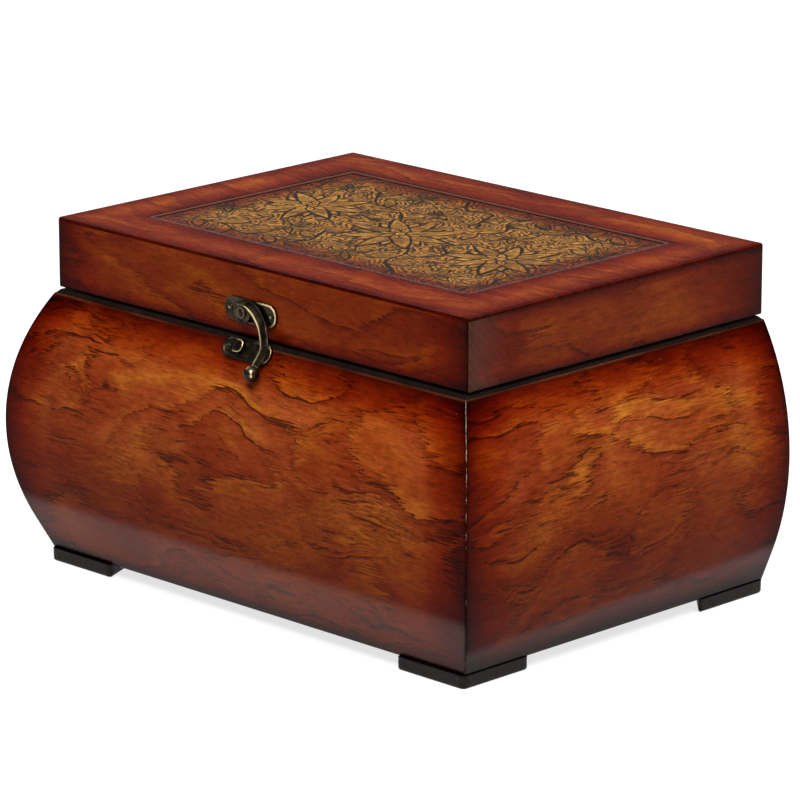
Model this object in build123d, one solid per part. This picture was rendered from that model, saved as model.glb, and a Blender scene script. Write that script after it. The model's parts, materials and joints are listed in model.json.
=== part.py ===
from build123d import *

import math
import os

# Keepsake box with three bowed walls, a flat back and a hinged lid, in millimetres.
# The origin is under the middle of the whole box, on the surface that it stands on.
# +X is right, -Y is the front with the clasp, +Z is up.

# Heights above the surface that the box stands on
FOOT_HEIGHT = 5.6
VENEER_TOP = 117.6
RIM_TOP = 119.0
LID_BOTTOM = 119.8
BOX_HEIGHT = 150.0

# Lid outline, and how far the body's top edge stands out past it on each side
LID_WIDTH = 240.0
LID_DEPTH = 174.0
SIDE_STEP = 0.6
FRONT_STEP = 2.0
BACK_STEP = 0.6

# Bowed wall profile: an arc down to a straight toe that leans in
BOW_RADIUS = 110.0
BOW_MIDDLE = 61.3
TOE_ANGLE = 22.7

# Sheet and board thicknesses
VENEER = 0.6
WALL_BOARD = 7.0
BASE_BOARD = 6.0
LINER = 0.8
LINER_GAP = 0.5
LID_RAIL = 8.4
LID_BOARD = 5.6
TOP_SHEET = 1.6
LEATHER = 1.0

# Leather panel let into the lid's top sheet
PANEL_WIDTH = 184.0
PANEL_DEPTH = 118.0

# Edge rounding of the lid
LID_CORNER_ROUND = 1.2
LID_BOTTOM_ROUND = 0.8

# Corner block feet, just proud of the walls above them, with their inner sides cut on a slant
FRONT_FOOT_LENGTH = 38.0
BACK_FOOT_LENGTH = 41.0
FOOT_SIDE_OUT = 2.6
FOOT_FRONT_OUT = 4.8
FOOT_BACK_OUT = 0.5
FRONT_FOOT_SLANT = 22.7
BACK_FOOT_SLANT = 45.0
FOOT_CORNER_ROUND = 2.5
FOOT_EDGE_ROUND = 1.0

# Hinges: barrel behind the back wall, leaves lying in the seam
HINGE_X = 72.0
HINGE_LENGTH = 30.0
KNUCKLE_RADIUS = 2.2
KNUCKLE_CLEARANCE = 0.3
MIDDLE_KNUCKLE = 13.6
KNUCKLE_GAP = 0.2
PIN_RADIUS = 0.9
PIN_RUNNING_FIT = 0.05
PIN_HEAD_RADIUS = 1.5
PIN_HEAD = 0.8
LEAF = 0.8
LEAF_REACH = 9.0
LEAF_HALF_GAP = 0.05
LEAF_TO_KNUCKLE = 0.25

# Hinge stop: a tab on the lid's knuckle meets a bar across the body's knuckles
OPEN_ANGLE = 98.0
STOP_OUTER = 3.3
STOP_INNER = 2.35
STOP_ROOT = 2.0
BAR_TOP_ANGLE = -12.0
BAR_BOTTOM_ANGLE = -36.0
BAR_LENGTH = 20.0
TAB_SPAN = 20.0
TAB_LENGTH = 10.0
STOP_SLACK = 0.8

# Hinge screws
SCREW_SPREAD = 9.5
SCREW_IN = 6.0
SCREW_HEAD_RADIUS = 1.9
SCREW_RADIUS = 0.85
SCREW_LENGTH = 8.0

# Clasp: a plate on the lid with a hook that swings on a rivet
PLATE_LENGTH = 30.0
PLATE_HEIGHT = 9.8
PLATE = 1.0
PLATE_RIM = 0.4
PLATE_RIM_WIDTH = 1.0
HASP_X = -1.5
HASP_Z = 130.6
HASP_NAIL_SPREAD = 12.0
PIVOT_X = -4.4
PIVOT_Z = 130.2
BOSS_RADIUS = 3.2
BOSS_PROUD = 1.85
RIVET_RADIUS = 1.2
RIVET_FIT = 0.05
RIVET_HEAD_RADIUS = 2.4
RIVET_HEAD = 0.85

# Nails of the clasp
NAIL_RADIUS = 0.6
NAIL_HEAD_RADIUS = 1.5
NAIL_HEAD = 0.6
NAIL_LENGTH = 6.0

# Hook: an arm that leans out over the bowed wall to a ball end
HOOK_HEAD_RADIUS = 4.7
HOOK_THICK = 1.7
HOOK_INNER = 1.9
HOOK_BEND_Z = 126.2
HOOK_LEAN = 23.8
HOOK_BALL_RADIUS = 3.4
HOOK_BALL_X = 9.0
HOOK_BALL_Z = 108.5
HOOK_BALL_PROUD = 11.0
# Arm's middle line as (x, z, half width), from the rivet's head to the ball
HOOK_PATH = [
    (-4.4, 133.6, 1.0),
    (-1.4, 133.4, 2.3),
    (2.0, 131.6, 2.9),
    (4.7, 128.6, 2.9),
    (7.0, 125.2, 2.8),
    (9.5, 121.6, 2.7),
    (10.9, 118.4, 2.6),
    (10.4, 115.2, 2.4),
    (9.3, 112.2, 2.0),
    (9.0, 108.5, 1.8),
]

# Catch plate, lying on the bowed front wall
CATCH_X = -0.4
CATCH_Z = 115.0
CATCH_LENGTH = 27.8
CATCH_HEIGHT = 9.0
CATCH_NAIL_SPREAD = 11.0
TONGUE_LEFT = -8.0
TONGUE_RIGHT = -1.0
TONGUE_WIDTH = 5.4
TONGUE_UP = 0.6
TONGUE_LOW = 2.3
TONGUE_HIGH = 3.3
TONGUE_ROUND = 2.4

# Places that follow from the sizes above
ARC_CENTRE = -math.sqrt(BOW_RADIUS**2 - (VENEER_TOP - BOW_MIDDLE) ** 2)
BOW = BOW_RADIUS + ARC_CENTRE
PIVOT_BEHIND = KNUCKLE_RADIUS + KNUCKLE_CLEARANCE
STOP_REACH = STOP_OUTER * math.cos(math.radians(BAR_TOP_ANGLE))
BODY_DEPTH = FRONT_STEP + LID_DEPTH + BACK_STEP
TOTAL_DEPTH = BOW + BODY_DEPTH + PIVOT_BEHIND + STOP_REACH
FRONT = BOW - TOTAL_DEPTH / 2
LID_FRONT = FRONT + FRONT_STEP
LID_BACK = LID_FRONT + LID_DEPTH
LID_MIDDLE = (LID_FRONT + LID_BACK) / 2
BACK = LID_BACK + BACK_STEP
SIDE = LID_WIDTH / 2 + SIDE_STEP
PIVOT_Y = BACK + PIVOT_BEHIND
SEAM_MIDDLE = (RIM_TOP + LID_BOTTOM) / 2
WALL_IN = VENEER + WALL_BOARD
BASE_TOP = FOOT_HEIGHT + BASE_BOARD
SHEET_BOTTOM = BOX_HEIGHT - TOP_SHEET
RAIL_TOP = SHEET_BOTTOM - LID_BOARD
MITRE_OUT = 30.0
MITRE_IN = 20.0


def bow_point(inset, angle):
    """Point of the bowed profile, as (outward, up), at an inset from its outer face."""
    reach = BOW_RADIUS - inset
    turn = math.radians(angle)
    return (ARC_CENTRE + reach * math.cos(turn), BOW_MIDDLE + reach * math.sin(turn))


def toe_out(inset, height):
    """How far out the straight toe of the profile is at a height."""
    out, up = bow_point(inset, -TOE_ANGLE)
    return out - (up - height) * math.tan(math.radians(TOE_ANGLE))


def bow_edges(inset, top):
    """Edges of the bowed profile, from a height down to the feet."""
    top_angle = math.degrees(math.asin((top - BOW_MIDDLE) / (BOW_RADIUS - inset)))
    start = bow_point(inset, top_angle)
    middle = bow_point(inset, (top_angle - TOE_ANGLE) / 2)
    turn = bow_point(inset, -TOE_ANGLE)
    end = (toe_out(inset, FOOT_HEIGHT), FOOT_HEIGHT)
    return [ThreePointArc(start, middle, turn), Line(turn, end)]


def bowed_layer(outer, inner, top):
    """One layer of a bowed wall, bowing towards +X and running along Y."""
    outside = bow_edges(outer, top)
    inside = bow_edges(inner, top)
    rim = Line(outside[0] @ 0, inside[0] @ 0)
    foot = Line(outside[1] @ 1, inside[1] @ 1)
    section = make_face(outside + inside + [rim, foot])
    return extrude(Plane.XZ * section, amount=LID_WIDTH, both=True)


def plan_block(points, low, high):
    """Upright block on a plan outline."""
    outline = make_face(Polyline(*points, close=True))
    return Pos(0, 0, low) * extrude(outline, amount=high - low)


def side_plan(back):
    """Plan area of the right wall: mitred at the front, square at the back."""
    return plan_block(
        [
            (SIDE + MITRE_OUT, FRONT - MITRE_OUT),
            (SIDE + MITRE_OUT, back),
            (SIDE - MITRE_IN, back),
            (SIDE - MITRE_IN, FRONT + MITRE_IN),
        ],
        0,
        BOX_HEIGHT,
    )


def front_plan():
    """Plan area of the front wall, mitred at both ends."""
    return plan_block(
        [
            (SIDE + MITRE_OUT, FRONT - MITRE_OUT),
            (SIDE - MITRE_IN, FRONT + MITRE_IN),
            (MITRE_IN - SIDE, FRONT + MITRE_IN),
            (-SIDE - MITRE_OUT, FRONT - MITRE_OUT),
        ],
        0,
        BOX_HEIGHT,
    )


def rim_envelope():
    """Everything under the body's rim, which is chamfered all round."""
    inner_width = 2 * (SIDE - VENEER)
    inner_depth = BODY_DEPTH - 2 * VENEER
    middle = (FRONT + BACK) / 2
    below = Pos(0, middle, 0) * Box(
        2 * LID_WIDTH, 2 * LID_DEPTH, VENEER_TOP, align=(Align.CENTER, Align.CENTER, Align.MIN)
    )
    top = Pos(0, middle, VENEER_TOP) * Rectangle(inner_width, inner_depth)
    return below + extrude(top, amount=RIM_TOP - VENEER_TOP, taper=45)


def right_layer(outer, inner, top, back):
    """One layer of the right wall."""
    return (Pos(SIDE, 0, 0) * bowed_layer(outer, inner, top)) & side_plan(back)


def front_layer(outer, inner, top):
    """One layer of the front wall."""
    turned = Rot(0, 0, -90) * bowed_layer(outer, inner, top)
    return (Pos(0, FRONT, 0) * turned) & front_plan()


def back_outline(inset, top):
    """Upright outline of the flat back, between the side walls at an inset."""
    right = [Pos(SIDE, 0) * edge for edge in bow_edges(inset, top)]
    left = [mirror(edge, Plane.YZ) for edge in right]
    across_top = Line(right[0] @ 0, left[0] @ 0)
    across_foot = Line(right[1] @ 1, left[1] @ 1)
    return make_face(right + left + [across_top, across_foot])


def back_layer(inset, outer, inner, top):
    """One layer of the flat back wall."""
    sheet = extrude(Plane.XZ * back_outline(inset, top), amount=inner - outer)
    return Pos(0, BACK - outer, 0) * sheet


def base_slab(inset, low, high):
    """Flat slab that fills the space between the walls' toes."""
    side_low = SIDE + toe_out(inset, low)
    side_high = SIDE + toe_out(inset, high)
    front_low = FRONT - toe_out(inset, low)
    front_high = FRONT - toe_out(inset, high)
    back = BACK - inset
    across = make_face(
        Polyline((-side_low, low), (side_low, low), (side_high, high), (-side_high, high), close=True)
    )
    along = make_face(
        Polyline((front_low, low), (back, low), (back, high), (front_high, high), close=True)
    )
    wide = extrude(Plane.XZ * across, amount=LID_WIDTH, both=True)
    deep = extrude(Plane.YZ * along, amount=LID_WIDTH, both=True)
    return wide & deep


def foot(side, front_or_back):
    """Corner block with rounded edges under one corner of the body."""
    length, slant = FRONT_FOOT_LENGTH, FRONT_FOOT_SLANT
    if front_or_back == "back":
        length, slant = BACK_FOOT_LENGTH, BACK_FOOT_SLANT
    middle = length / (1 + math.tan(math.radians(slant)))
    inner = [(middle, middle)] if slant < 45 else []
    plan = make_face(Polyline((0, 0), (length, 0), *inner, (0, length), close=True))
    block = extrude(plan, amount=FOOT_HEIGHT)
    block = fillet(block.edges().filter_by(Axis.Z), FOOT_CORNER_ROUND)
    block = fillet(block.faces().sort_by(Axis.Z)[0].edges(), FOOT_EDGE_ROUND)
    if side > 0:
        block = mirror(block, Plane.YZ)
    y = LID_FRONT - FOOT_FRONT_OUT
    if front_or_back == "back":
        block = mirror(block, Plane.XZ)
        y = BACK + FOOT_BACK_OUT
    return Pos(side * (SIDE - SIDE_STEP + FOOT_SIDE_OUT), y, 0) * block


def lid_envelope():
    """Whole lid as one block, with its edges rounded."""
    height = BOX_HEIGHT - LID_BOTTOM
    block = Box(LID_WIDTH, LID_DEPTH, height, align=(Align.CENTER, Align.CENTER, Align.MIN))
    block = fillet(block.edges().filter_by(Axis.Z), LID_CORNER_ROUND)
    block = fillet(block.faces().sort_by(Axis.Z)[-1].edges(), LID_CORNER_ROUND)
    block = fillet(block.faces().sort_by(Axis.Z)[0].edges(), LID_BOTTOM_ROUND)
    return Pos(0, LID_MIDDLE, LID_BOTTOM) * block


def lid_side(name, outer, inner, top):
    """One mitred side of a ring round the lid, from its bottom up to a height."""
    far_x = LID_WIDTH / 2 - outer
    near_x = LID_WIDTH / 2 - inner
    far_y = LID_DEPTH / 2 - outer
    near_y = LID_DEPTH / 2 - inner
    plans = {
        "front": [(-far_x, -far_y), (far_x, -far_y), (near_x, -near_y), (-near_x, -near_y)],
        "back": [(-far_x, far_y), (far_x, far_y), (near_x, near_y), (-near_x, near_y)],
        "left": [(-far_x, -far_y), (-far_x, far_y), (-near_x, near_y), (-near_x, -near_y)],
        "right": [(far_x, -far_y), (far_x, far_y), (near_x, near_y), (near_x, -near_y)],
    }
    return Pos(0, LID_MIDDLE, 0) * plan_block(plans[name], LID_BOTTOM, top)


def lid_plate(width, depth, low, high):
    """Flat plate centred on the lid."""
    plate = Box(width, depth, high - low, align=(Align.CENTER, Align.CENTER, Align.MIN))
    return Pos(0, LID_MIDDLE, low) * plate


def along_x(radius, start, end):
    """Round bar along the hinge's axis."""
    return Pos((start + end) / 2, 0, 0) * (Rot(0, 90, 0) * Cylinder(radius, end - start))


def ring_sector(inner, outer, low_angle, high_angle, start, end):
    """Part of a ring about the hinge's axis, between two angles from +Y towards +Z."""
    def at(radius, angle):
        """Point in the plane across the hinge's axis."""
        turn = math.radians(angle)
        return (radius * math.cos(turn), radius * math.sin(turn))

    middle = (low_angle + high_angle) / 2
    section = make_face(
        [
            ThreePointArc(at(outer, low_angle), at(outer, middle), at(outer, high_angle)),
            Line(at(outer, high_angle), at(inner, high_angle)),
            ThreePointArc(at(inner, high_angle), at(inner, middle), at(inner, low_angle)),
            Line(at(inner, low_angle), at(outer, low_angle)),
        ]
    )
    return Pos(start, 0, 0) * extrude(Plane.YZ * section, amount=end - start)


def leaf_slab(start, end, back, side):
    """Flat part of a hinge leaf; side is +1 for the lid's leaf and -1 for the body's."""
    middle_z = side * (LEAF_HALF_GAP + LEAF / 2)
    slab = Box(end - start, back + LEAF_REACH, LEAF)
    return Pos((start + end) / 2, (back - LEAF_REACH) / 2, middle_z) * slab


def body_leaf():
    """Leaf on the body: two outer knuckles with the stop bar across them."""
    half = HINGE_LENGTH / 2
    inner = MIDDLE_KNUCKLE / 2 + KNUCKLE_GAP
    edge = -KNUCKLE_RADIUS - LEAF_TO_KNUCKLE
    leaf = leaf_slab(-half, half, edge, -1)
    for start, end in ((-half, -inner), (inner, half)):
        leaf += leaf_slab(start, end, 0, -1)
        leaf += along_x(KNUCKLE_RADIUS, start, end)
    half_bar = BAR_LENGTH / 2
    leaf += ring_sector(STOP_INNER, STOP_OUTER, BAR_BOTTOM_ANGLE, BAR_TOP_ANGLE, -half_bar, half_bar)
    for start, end in ((-half_bar, -inner), (inner, half_bar)):
        leaf += ring_sector(STOP_ROOT, STOP_OUTER, BAR_BOTTOM_ANGLE, BAR_TOP_ANGLE, start, end)
    return leaf - along_x(PIN_RADIUS, -half, half)


def lid_leaf():
    """Leaf on the lid: one middle knuckle with the stop tab on it."""
    half = HINGE_LENGTH / 2
    middle = MIDDLE_KNUCKLE / 2
    edge = -KNUCKLE_RADIUS - LEAF_TO_KNUCKLE
    low = OPEN_ANGLE + BAR_TOP_ANGLE + STOP_SLACK
    half_tab = TAB_LENGTH / 2
    leaf = leaf_slab(-half, half, edge, 1)
    leaf += leaf_slab(-middle, middle, 0, 1)
    leaf += along_x(KNUCKLE_RADIUS, -middle, middle)
    leaf += ring_sector(STOP_ROOT, STOP_OUTER, low, low + TAB_SPAN, -half_tab, half_tab)
    return leaf - along_x(PIN_RADIUS + PIN_RUNNING_FIT, -half, half)


def hinge_pin():
    """Pin through the knuckles, with a flat head at each end."""
    half = HINGE_LENGTH / 2
    pin = along_x(PIN_RADIUS, -half, half)
    pin += along_x(PIN_HEAD_RADIUS, half, half + PIN_HEAD)
    return pin + along_x(PIN_HEAD_RADIUS, -half - PIN_HEAD, -half)


def hinge_screw(side):
    """Countersunk screw; side is +1 when it points up into the lid, -1 down into the body."""
    tilt = 0 if side > 0 else 180
    cone = Cone(SCREW_HEAD_RADIUS, SCREW_RADIUS, LEAF, align=(Align.CENTER, Align.CENTER, Align.MIN))
    shank = Cylinder(SCREW_RADIUS, SCREW_LENGTH, align=(Align.CENTER, Align.CENTER, Align.MIN))
    upright = cone + Pos(0, 0, LEAF) * shank
    return Pos(0, 0, side * LEAF_HALF_GAP) * (Rot(tilt, 0, 0) * upright)


def screw_pair(side):
    """The two screws of one leaf, as a list."""
    return [Pos(x, -SCREW_IN, 0) * hinge_screw(side) for x in (-SCREW_SPREAD, SCREW_SPREAD)]


def at_hinge(x, piece):
    """A hinge piece moved to its place on the box."""
    return Pos(x, PIVOT_Y, SEAM_MIDDLE) * piece


def raised_plate(length, height):
    """Round-ended plate with a raised rim, lying on z = 0."""
    plate = extrude(SlotOverall(length, height), amount=PLATE)
    inner = SlotOverall(length - 2 * PLATE_RIM_WIDTH, height - 2 * PLATE_RIM_WIDTH)
    rim = extrude(SlotOverall(length, height) - inner, amount=PLATE + PLATE_RIM)
    return plate + rim


def domed_nail():
    """Nail with a low domed head, whose head rests on z = 0."""
    ball_radius = (NAIL_HEAD_RADIUS**2 + NAIL_HEAD**2) / (2 * NAIL_HEAD)
    ball = Pos(0, 0, NAIL_HEAD - ball_radius) * Sphere(ball_radius)
    head = ball & Cylinder(ball_radius, NAIL_HEAD, align=(Align.CENTER, Align.CENTER, Align.MIN))
    shank = Cylinder(NAIL_RADIUS, NAIL_LENGTH, align=(Align.CENTER, Align.CENTER, Align.MAX))
    return head + shank


def nail_pair(spread):
    """The two nails of a clasp plate, as a list."""
    return [Pos(x, 0, PLATE) * domed_nail() for x in (-spread, spread)]


def on_lid_front(x, z):
    """Plane on the lid's front face, with its normal pointing forwards."""
    return Plane(origin=(x, LID_FRONT, z), x_dir=(1, 0, 0), z_dir=(0, -1, 0))


def on_front_wall(x, z):
    """Plane that touches the bowed front wall at a height."""
    angle = math.degrees(math.asin((z - BOW_MIDDLE) / BOW_RADIUS))
    out, up = bow_point(0, angle)
    lean = math.radians(angle)
    normal = (0, -math.cos(lean), math.sin(lean))
    return Plane(origin=(x, FRONT - out, up), x_dir=(1, 0, 0), z_dir=normal)


def hook_rivet():
    """Rivet that the hook turns on, with a domed head."""
    top = HOOK_INNER + HOOK_THICK + RIVET_FIT
    shank = Cylinder(RIVET_RADIUS, top, align=(Align.CENTER, Align.CENTER, Align.MIN))
    ball_radius = (RIVET_HEAD_RADIUS**2 + RIVET_HEAD**2) / (2 * RIVET_HEAD)
    ball = Pos(0, 0, RIVET_HEAD - ball_radius) * Sphere(ball_radius)
    head = ball & Cylinder(ball_radius, RIVET_HEAD, align=(Align.CENTER, Align.CENTER, Align.MIN))
    return on_lid_front(PIVOT_X, PIVOT_Z) * (shank + Pos(0, 0, top) * head)


def hasp_plate(nails):
    """Plate on the lid that carries the hook, with a boss under the hook."""
    plate = on_lid_front(HASP_X, HASP_Z) * raised_plate(PLATE_LENGTH, PLATE_HEIGHT)
    boss = Cylinder(BOSS_RADIUS, BOSS_PROUD, align=(Align.CENTER, Align.CENTER, Align.MIN))
    hole = Cylinder(RIVET_RADIUS, 2 * BOSS_PROUD)
    plate += on_lid_front(PIVOT_X, PIVOT_Z) * boss
    plate -= on_lid_front(PIVOT_X, PIVOT_Z) * hole
    return plate - nails


def hook_outline():
    """Front view of the hook's arm, as a face in (x, z)."""
    left = []
    right = []
    last = len(HOOK_PATH) - 1
    for index, (x, z, half) in enumerate(HOOK_PATH):
        before = HOOK_PATH[max(index - 1, 0)]
        after = HOOK_PATH[min(index + 1, last)]
        along = Vector(after[0] - before[0], after[1] - before[1]).normalized()
        across = Vector(-along.Y, along.X) * half
        left.append((x + across.X, z + across.Y))
        right.append((x - across.X, z - across.Y))
    outer = Spline(*left)
    inner = Spline(*right)
    return make_face([outer, inner, Line(outer @ 0, inner @ 0), Line(outer @ 1, inner @ 1)])


def hook_side_profile():
    """Side view of the hook's arm: flat on the lid, then leaning out over the wall."""
    top_z = PIVOT_Z + 2 * HOOK_HEAD_RADIUS
    drop = HOOK_BEND_Z - HOOK_BALL_Z
    lean = drop * math.tan(math.radians(HOOK_LEAN))
    inner = LID_FRONT - HOOK_INNER
    outer = inner - HOOK_THICK
    return make_face(
        Polyline(
            (inner, top_z),
            (inner, HOOK_BEND_Z),
            (inner - lean, HOOK_BALL_Z),
            (outer - lean, HOOK_BALL_Z),
            (outer, HOOK_BEND_Z),
            (outer, top_z),
            close=True,
        )
    )


def swing_hook():
    """Hook: round head on the rivet, curved arm and ball end."""
    depth = 2 * HOOK_BALL_PROUD
    arm = extrude(Plane.XZ * hook_outline(), amount=depth)
    head = extrude(Plane.XZ * (Pos(PIVOT_X, PIVOT_Z) * Circle(HOOK_HEAD_RADIUS)), amount=depth)
    solid = Pos(0, LID_FRONT, 0) * (arm + head)
    profile = extrude(Plane.YZ * hook_side_profile(), amount=LID_WIDTH, both=True)
    solid = solid & profile
    ball = Sphere(HOOK_BALL_RADIUS)
    solid += Pos(HOOK_BALL_X, LID_FRONT - HOOK_BALL_PROUD, HOOK_BALL_Z) * ball
    hole = Cylinder(RIVET_RADIUS + RIVET_FIT, 2 * depth)
    return solid - on_lid_front(PIVOT_X, PIVOT_Z) * hole


def catch_tongue():
    """Raised tongue of the catch plate, open to the right, lying on z = 0."""
    step = TONGUE_HIGH - TONGUE_LOW
    profile = make_face(
        Polyline(
            (TONGUE_LEFT, PLATE / 2),
            (TONGUE_LEFT + step, PLATE / 2),
            (TONGUE_LEFT + 3 * step, TONGUE_LOW),
            (TONGUE_RIGHT, TONGUE_LOW),
            (TONGUE_RIGHT, TONGUE_HIGH),
            (TONGUE_LEFT + 2 * step, TONGUE_HIGH),
            (TONGUE_LEFT, PLATE + PLATE_RIM),
            close=True,
        )
    )
    strip = extrude(Plane.XZ * profile, amount=TONGUE_WIDTH / 2, both=True)
    length = 2 * (TONGUE_RIGHT - TONGUE_LEFT)
    end = RectangleRounded(length, TONGUE_WIDTH, TONGUE_ROUND)
    mask = extrude(Pos(TONGUE_LEFT, 0) * end, amount=TONGUE_HIGH)
    return Pos(0, TONGUE_UP, 0) * (strip & mask)


def catch_plate(nails):
    """Plate on the front wall with the tongue that the hook swings behind."""
    plate = raised_plate(CATCH_LENGTH, CATCH_HEIGHT) + catch_tongue()
    return on_front_wall(CATCH_X, CATCH_Z) * plate - nails


def cut(piece, tools):
    """A piece with every tool taken out of it."""
    for tool in tools:
        piece = piece - tool
    return piece


def build_body(parts):
    """Walls, skins, base, lining and feet."""
    rim = rim_envelope()
    board_back = BACK - VENEER
    right = right_layer(VENEER, WALL_IN, RIM_TOP, board_back) & rim
    skin = right_layer(0, VENEER, VENEER_TOP, BACK)
    parts["right_wall"] = right
    parts["left_wall"] = mirror(right, Plane.YZ)
    parts["front_wall"] = front_layer(VENEER, WALL_IN, RIM_TOP) & rim
    parts["back_wall"] = back_layer(WALL_IN, VENEER, WALL_IN, RIM_TOP) & rim
    parts["right_veneer"] = skin
    parts["left_veneer"] = mirror(skin, Plane.YZ)
    parts["front_veneer"] = front_layer(0, VENEER, VENEER_TOP)
    parts["back_veneer"] = back_layer(VENEER, 0, VENEER, VENEER_TOP)
    parts["base_board"] = base_slab(WALL_IN, FOOT_HEIGHT, BASE_TOP)
    parts["base_liner"] = base_slab(WALL_IN + LINER_GAP, BASE_TOP, BASE_TOP + LINER)
    for side_name, side in (("left", -1), ("right", 1)):
        for end in ("front", "back"):
            parts[f"foot_{end}_{side_name}"] = foot(side, end)


def build_lid(parts):
    """Lid frame, top, skins and leather."""
    envelope = lid_envelope()
    inner = VENEER + LID_RAIL
    for name in ("front", "back", "left", "right"):
        parts[f"lid_{name}_rail"] = lid_side(name, VENEER, inner, RAIL_TOP) & envelope
        parts[f"lid_{name}_veneer"] = lid_side(name, 0, VENEER, SHEET_BOTTOM) & envelope
    board_width = LID_WIDTH - 2 * VENEER
    board_depth = LID_DEPTH - 2 * VENEER
    parts["lid_top_board"] = lid_plate(board_width, board_depth, RAIL_TOP, SHEET_BOTTOM)
    window = lid_plate(PANEL_WIDTH, PANEL_DEPTH, SHEET_BOTTOM, BOX_HEIGHT)
    sheet = lid_plate(LID_WIDTH, LID_DEPTH, SHEET_BOTTOM, BOX_HEIGHT) & envelope
    parts["lid_top_veneer"] = sheet - window
    parts["leather_panel"] = lid_plate(PANEL_WIDTH, PANEL_DEPTH, SHEET_BOTTOM, SHEET_BOTTOM + LEATHER)


def build_hinges(parts):
    """Both stop hinges, with the seats that their leaves and screws need."""
    body_screws = []
    lid_screws = []
    for side_name, x in (("left", -HINGE_X), ("right", HINGE_X)):
        lower = [at_hinge(x, screw) for screw in screw_pair(-1)]
        upper = [at_hinge(x, screw) for screw in screw_pair(1)]
        body_part = cut(at_hinge(x, body_leaf()), lower)
        lid_part = cut(at_hinge(x, lid_leaf()), upper)
        parts[f"hinge_body_leaf_{side_name}"] = body_part
        parts[f"hinge_lid_leaf_{side_name}"] = lid_part
        parts[f"hinge_pin_{side_name}"] = at_hinge(x, hinge_pin())
        parts["back_wall"] = cut(parts["back_wall"], [at_hinge(x, body_leaf())] + lower)
        parts["lid_back_rail"] = cut(parts["lid_back_rail"], [at_hinge(x, lid_leaf())] + upper)
        parts["lid_back_veneer"] = cut(parts["lid_back_veneer"], [at_hinge(x, lid_leaf())])
        body_screws += lower
        lid_screws += upper
    parts["hinge_body_screws"] = Compound(children=body_screws)
    parts["hinge_lid_screws"] = Compound(children=lid_screws)


def build_clasp(parts):
    """Hook, its plate and the catch, with the holes that their nails need."""
    lid_nails = [on_lid_front(HASP_X, HASP_Z) * nail for nail in nail_pair(HASP_NAIL_SPREAD)]
    wall_nails = [on_front_wall(CATCH_X, CATCH_Z) * nail for nail in nail_pair(CATCH_NAIL_SPREAD)]
    for name in ("lid_front_veneer", "lid_front_rail"):
        parts[name] = cut(parts[name], lid_nails)
    for name in ("front_veneer", "front_wall"):
        parts[name] = cut(parts[name], wall_nails)
    parts["hasp_plate"] = hasp_plate(lid_nails)
    parts["hasp_plate_nails"] = Compound(children=lid_nails)
    parts["hook_rivet"] = hook_rivet()
    parts["swing_hook"] = swing_hook()
    parts["catch_plate"] = catch_plate(wall_nails)
    parts["catch_plate_nails"] = Compound(children=wall_nails)


def main():
    """Builds every piece and writes one file for each."""
    parts = {}
    build_body(parts)
    build_lid(parts)
    build_hinges(parts)
    build_clasp(parts)
    os.makedirs("parts", exist_ok=True)
    for name, shape in parts.items():
        export_step(shape, f"parts/{name}.step")
    print(len(parts), "pieces, pivot at", round(PIVOT_Y, 3), "front at", round(LID_FRONT, 3))


main()
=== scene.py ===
"""Keepsake box with bowed veneered walls, a leather panel in its lid and a swing-hook clasp.

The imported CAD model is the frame. New pieces are modelled in millimetres in its coordinates and
turned to metres when they are finished.
"""

import json
import logging
import math
from collections.abc import Callable, Sequence
from dataclasses import dataclass, field
from enum import Enum
from functools import partial

import bmesh
import bpy
import numpy as np
from bmesh.types import BMEdge, BMesh, BMVert
from bpy.types import ID, Material, Mesh, Node, NodeSocket, NodeTree, Object
from mathutils import Matrix, Vector, noise

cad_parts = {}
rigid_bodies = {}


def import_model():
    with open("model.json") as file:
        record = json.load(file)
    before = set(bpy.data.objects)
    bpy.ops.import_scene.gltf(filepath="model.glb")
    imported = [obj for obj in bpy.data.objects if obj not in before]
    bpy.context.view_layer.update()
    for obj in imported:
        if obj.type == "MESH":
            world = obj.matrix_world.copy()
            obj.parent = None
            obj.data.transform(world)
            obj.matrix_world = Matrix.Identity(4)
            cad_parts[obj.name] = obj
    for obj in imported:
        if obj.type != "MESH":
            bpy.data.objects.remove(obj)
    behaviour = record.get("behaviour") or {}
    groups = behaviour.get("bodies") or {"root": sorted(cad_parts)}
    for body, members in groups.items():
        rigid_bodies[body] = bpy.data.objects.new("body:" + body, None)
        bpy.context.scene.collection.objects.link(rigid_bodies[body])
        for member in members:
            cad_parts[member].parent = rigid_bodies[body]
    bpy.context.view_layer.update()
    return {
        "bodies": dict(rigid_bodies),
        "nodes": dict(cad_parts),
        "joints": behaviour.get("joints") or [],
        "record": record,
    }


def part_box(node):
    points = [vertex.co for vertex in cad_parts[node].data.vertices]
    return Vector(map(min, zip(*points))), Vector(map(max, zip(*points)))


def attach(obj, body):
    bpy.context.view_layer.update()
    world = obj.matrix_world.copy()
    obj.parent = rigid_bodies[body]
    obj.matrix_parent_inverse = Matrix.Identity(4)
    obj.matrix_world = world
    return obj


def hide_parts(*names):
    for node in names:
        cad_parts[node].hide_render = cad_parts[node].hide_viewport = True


LOG = logging.getLogger("keepsake_box")
MM = 0.001
# millimetres by which two heights may differ and still count as one
SLACK = 0.01

Colour = tuple[float, float, float, float]
PlaneMap = Callable[[Vector], tuple[float, float]]
Socket = NodeSocket
Inputs = dict[int | str, object] | Sequence[object]
NodeAdder = Callable[..., Socket]

# settings that many nodes share: a range that eases in and out, and two ways to mix colours
EASED = {"interpolation_type": "SMOOTHSTEP"}
MIXED = {"output": 2, "data_type": "RGBA"}
MULTIPLIED = {**MIXED, "blend_type": "MULTIPLY"}


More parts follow.
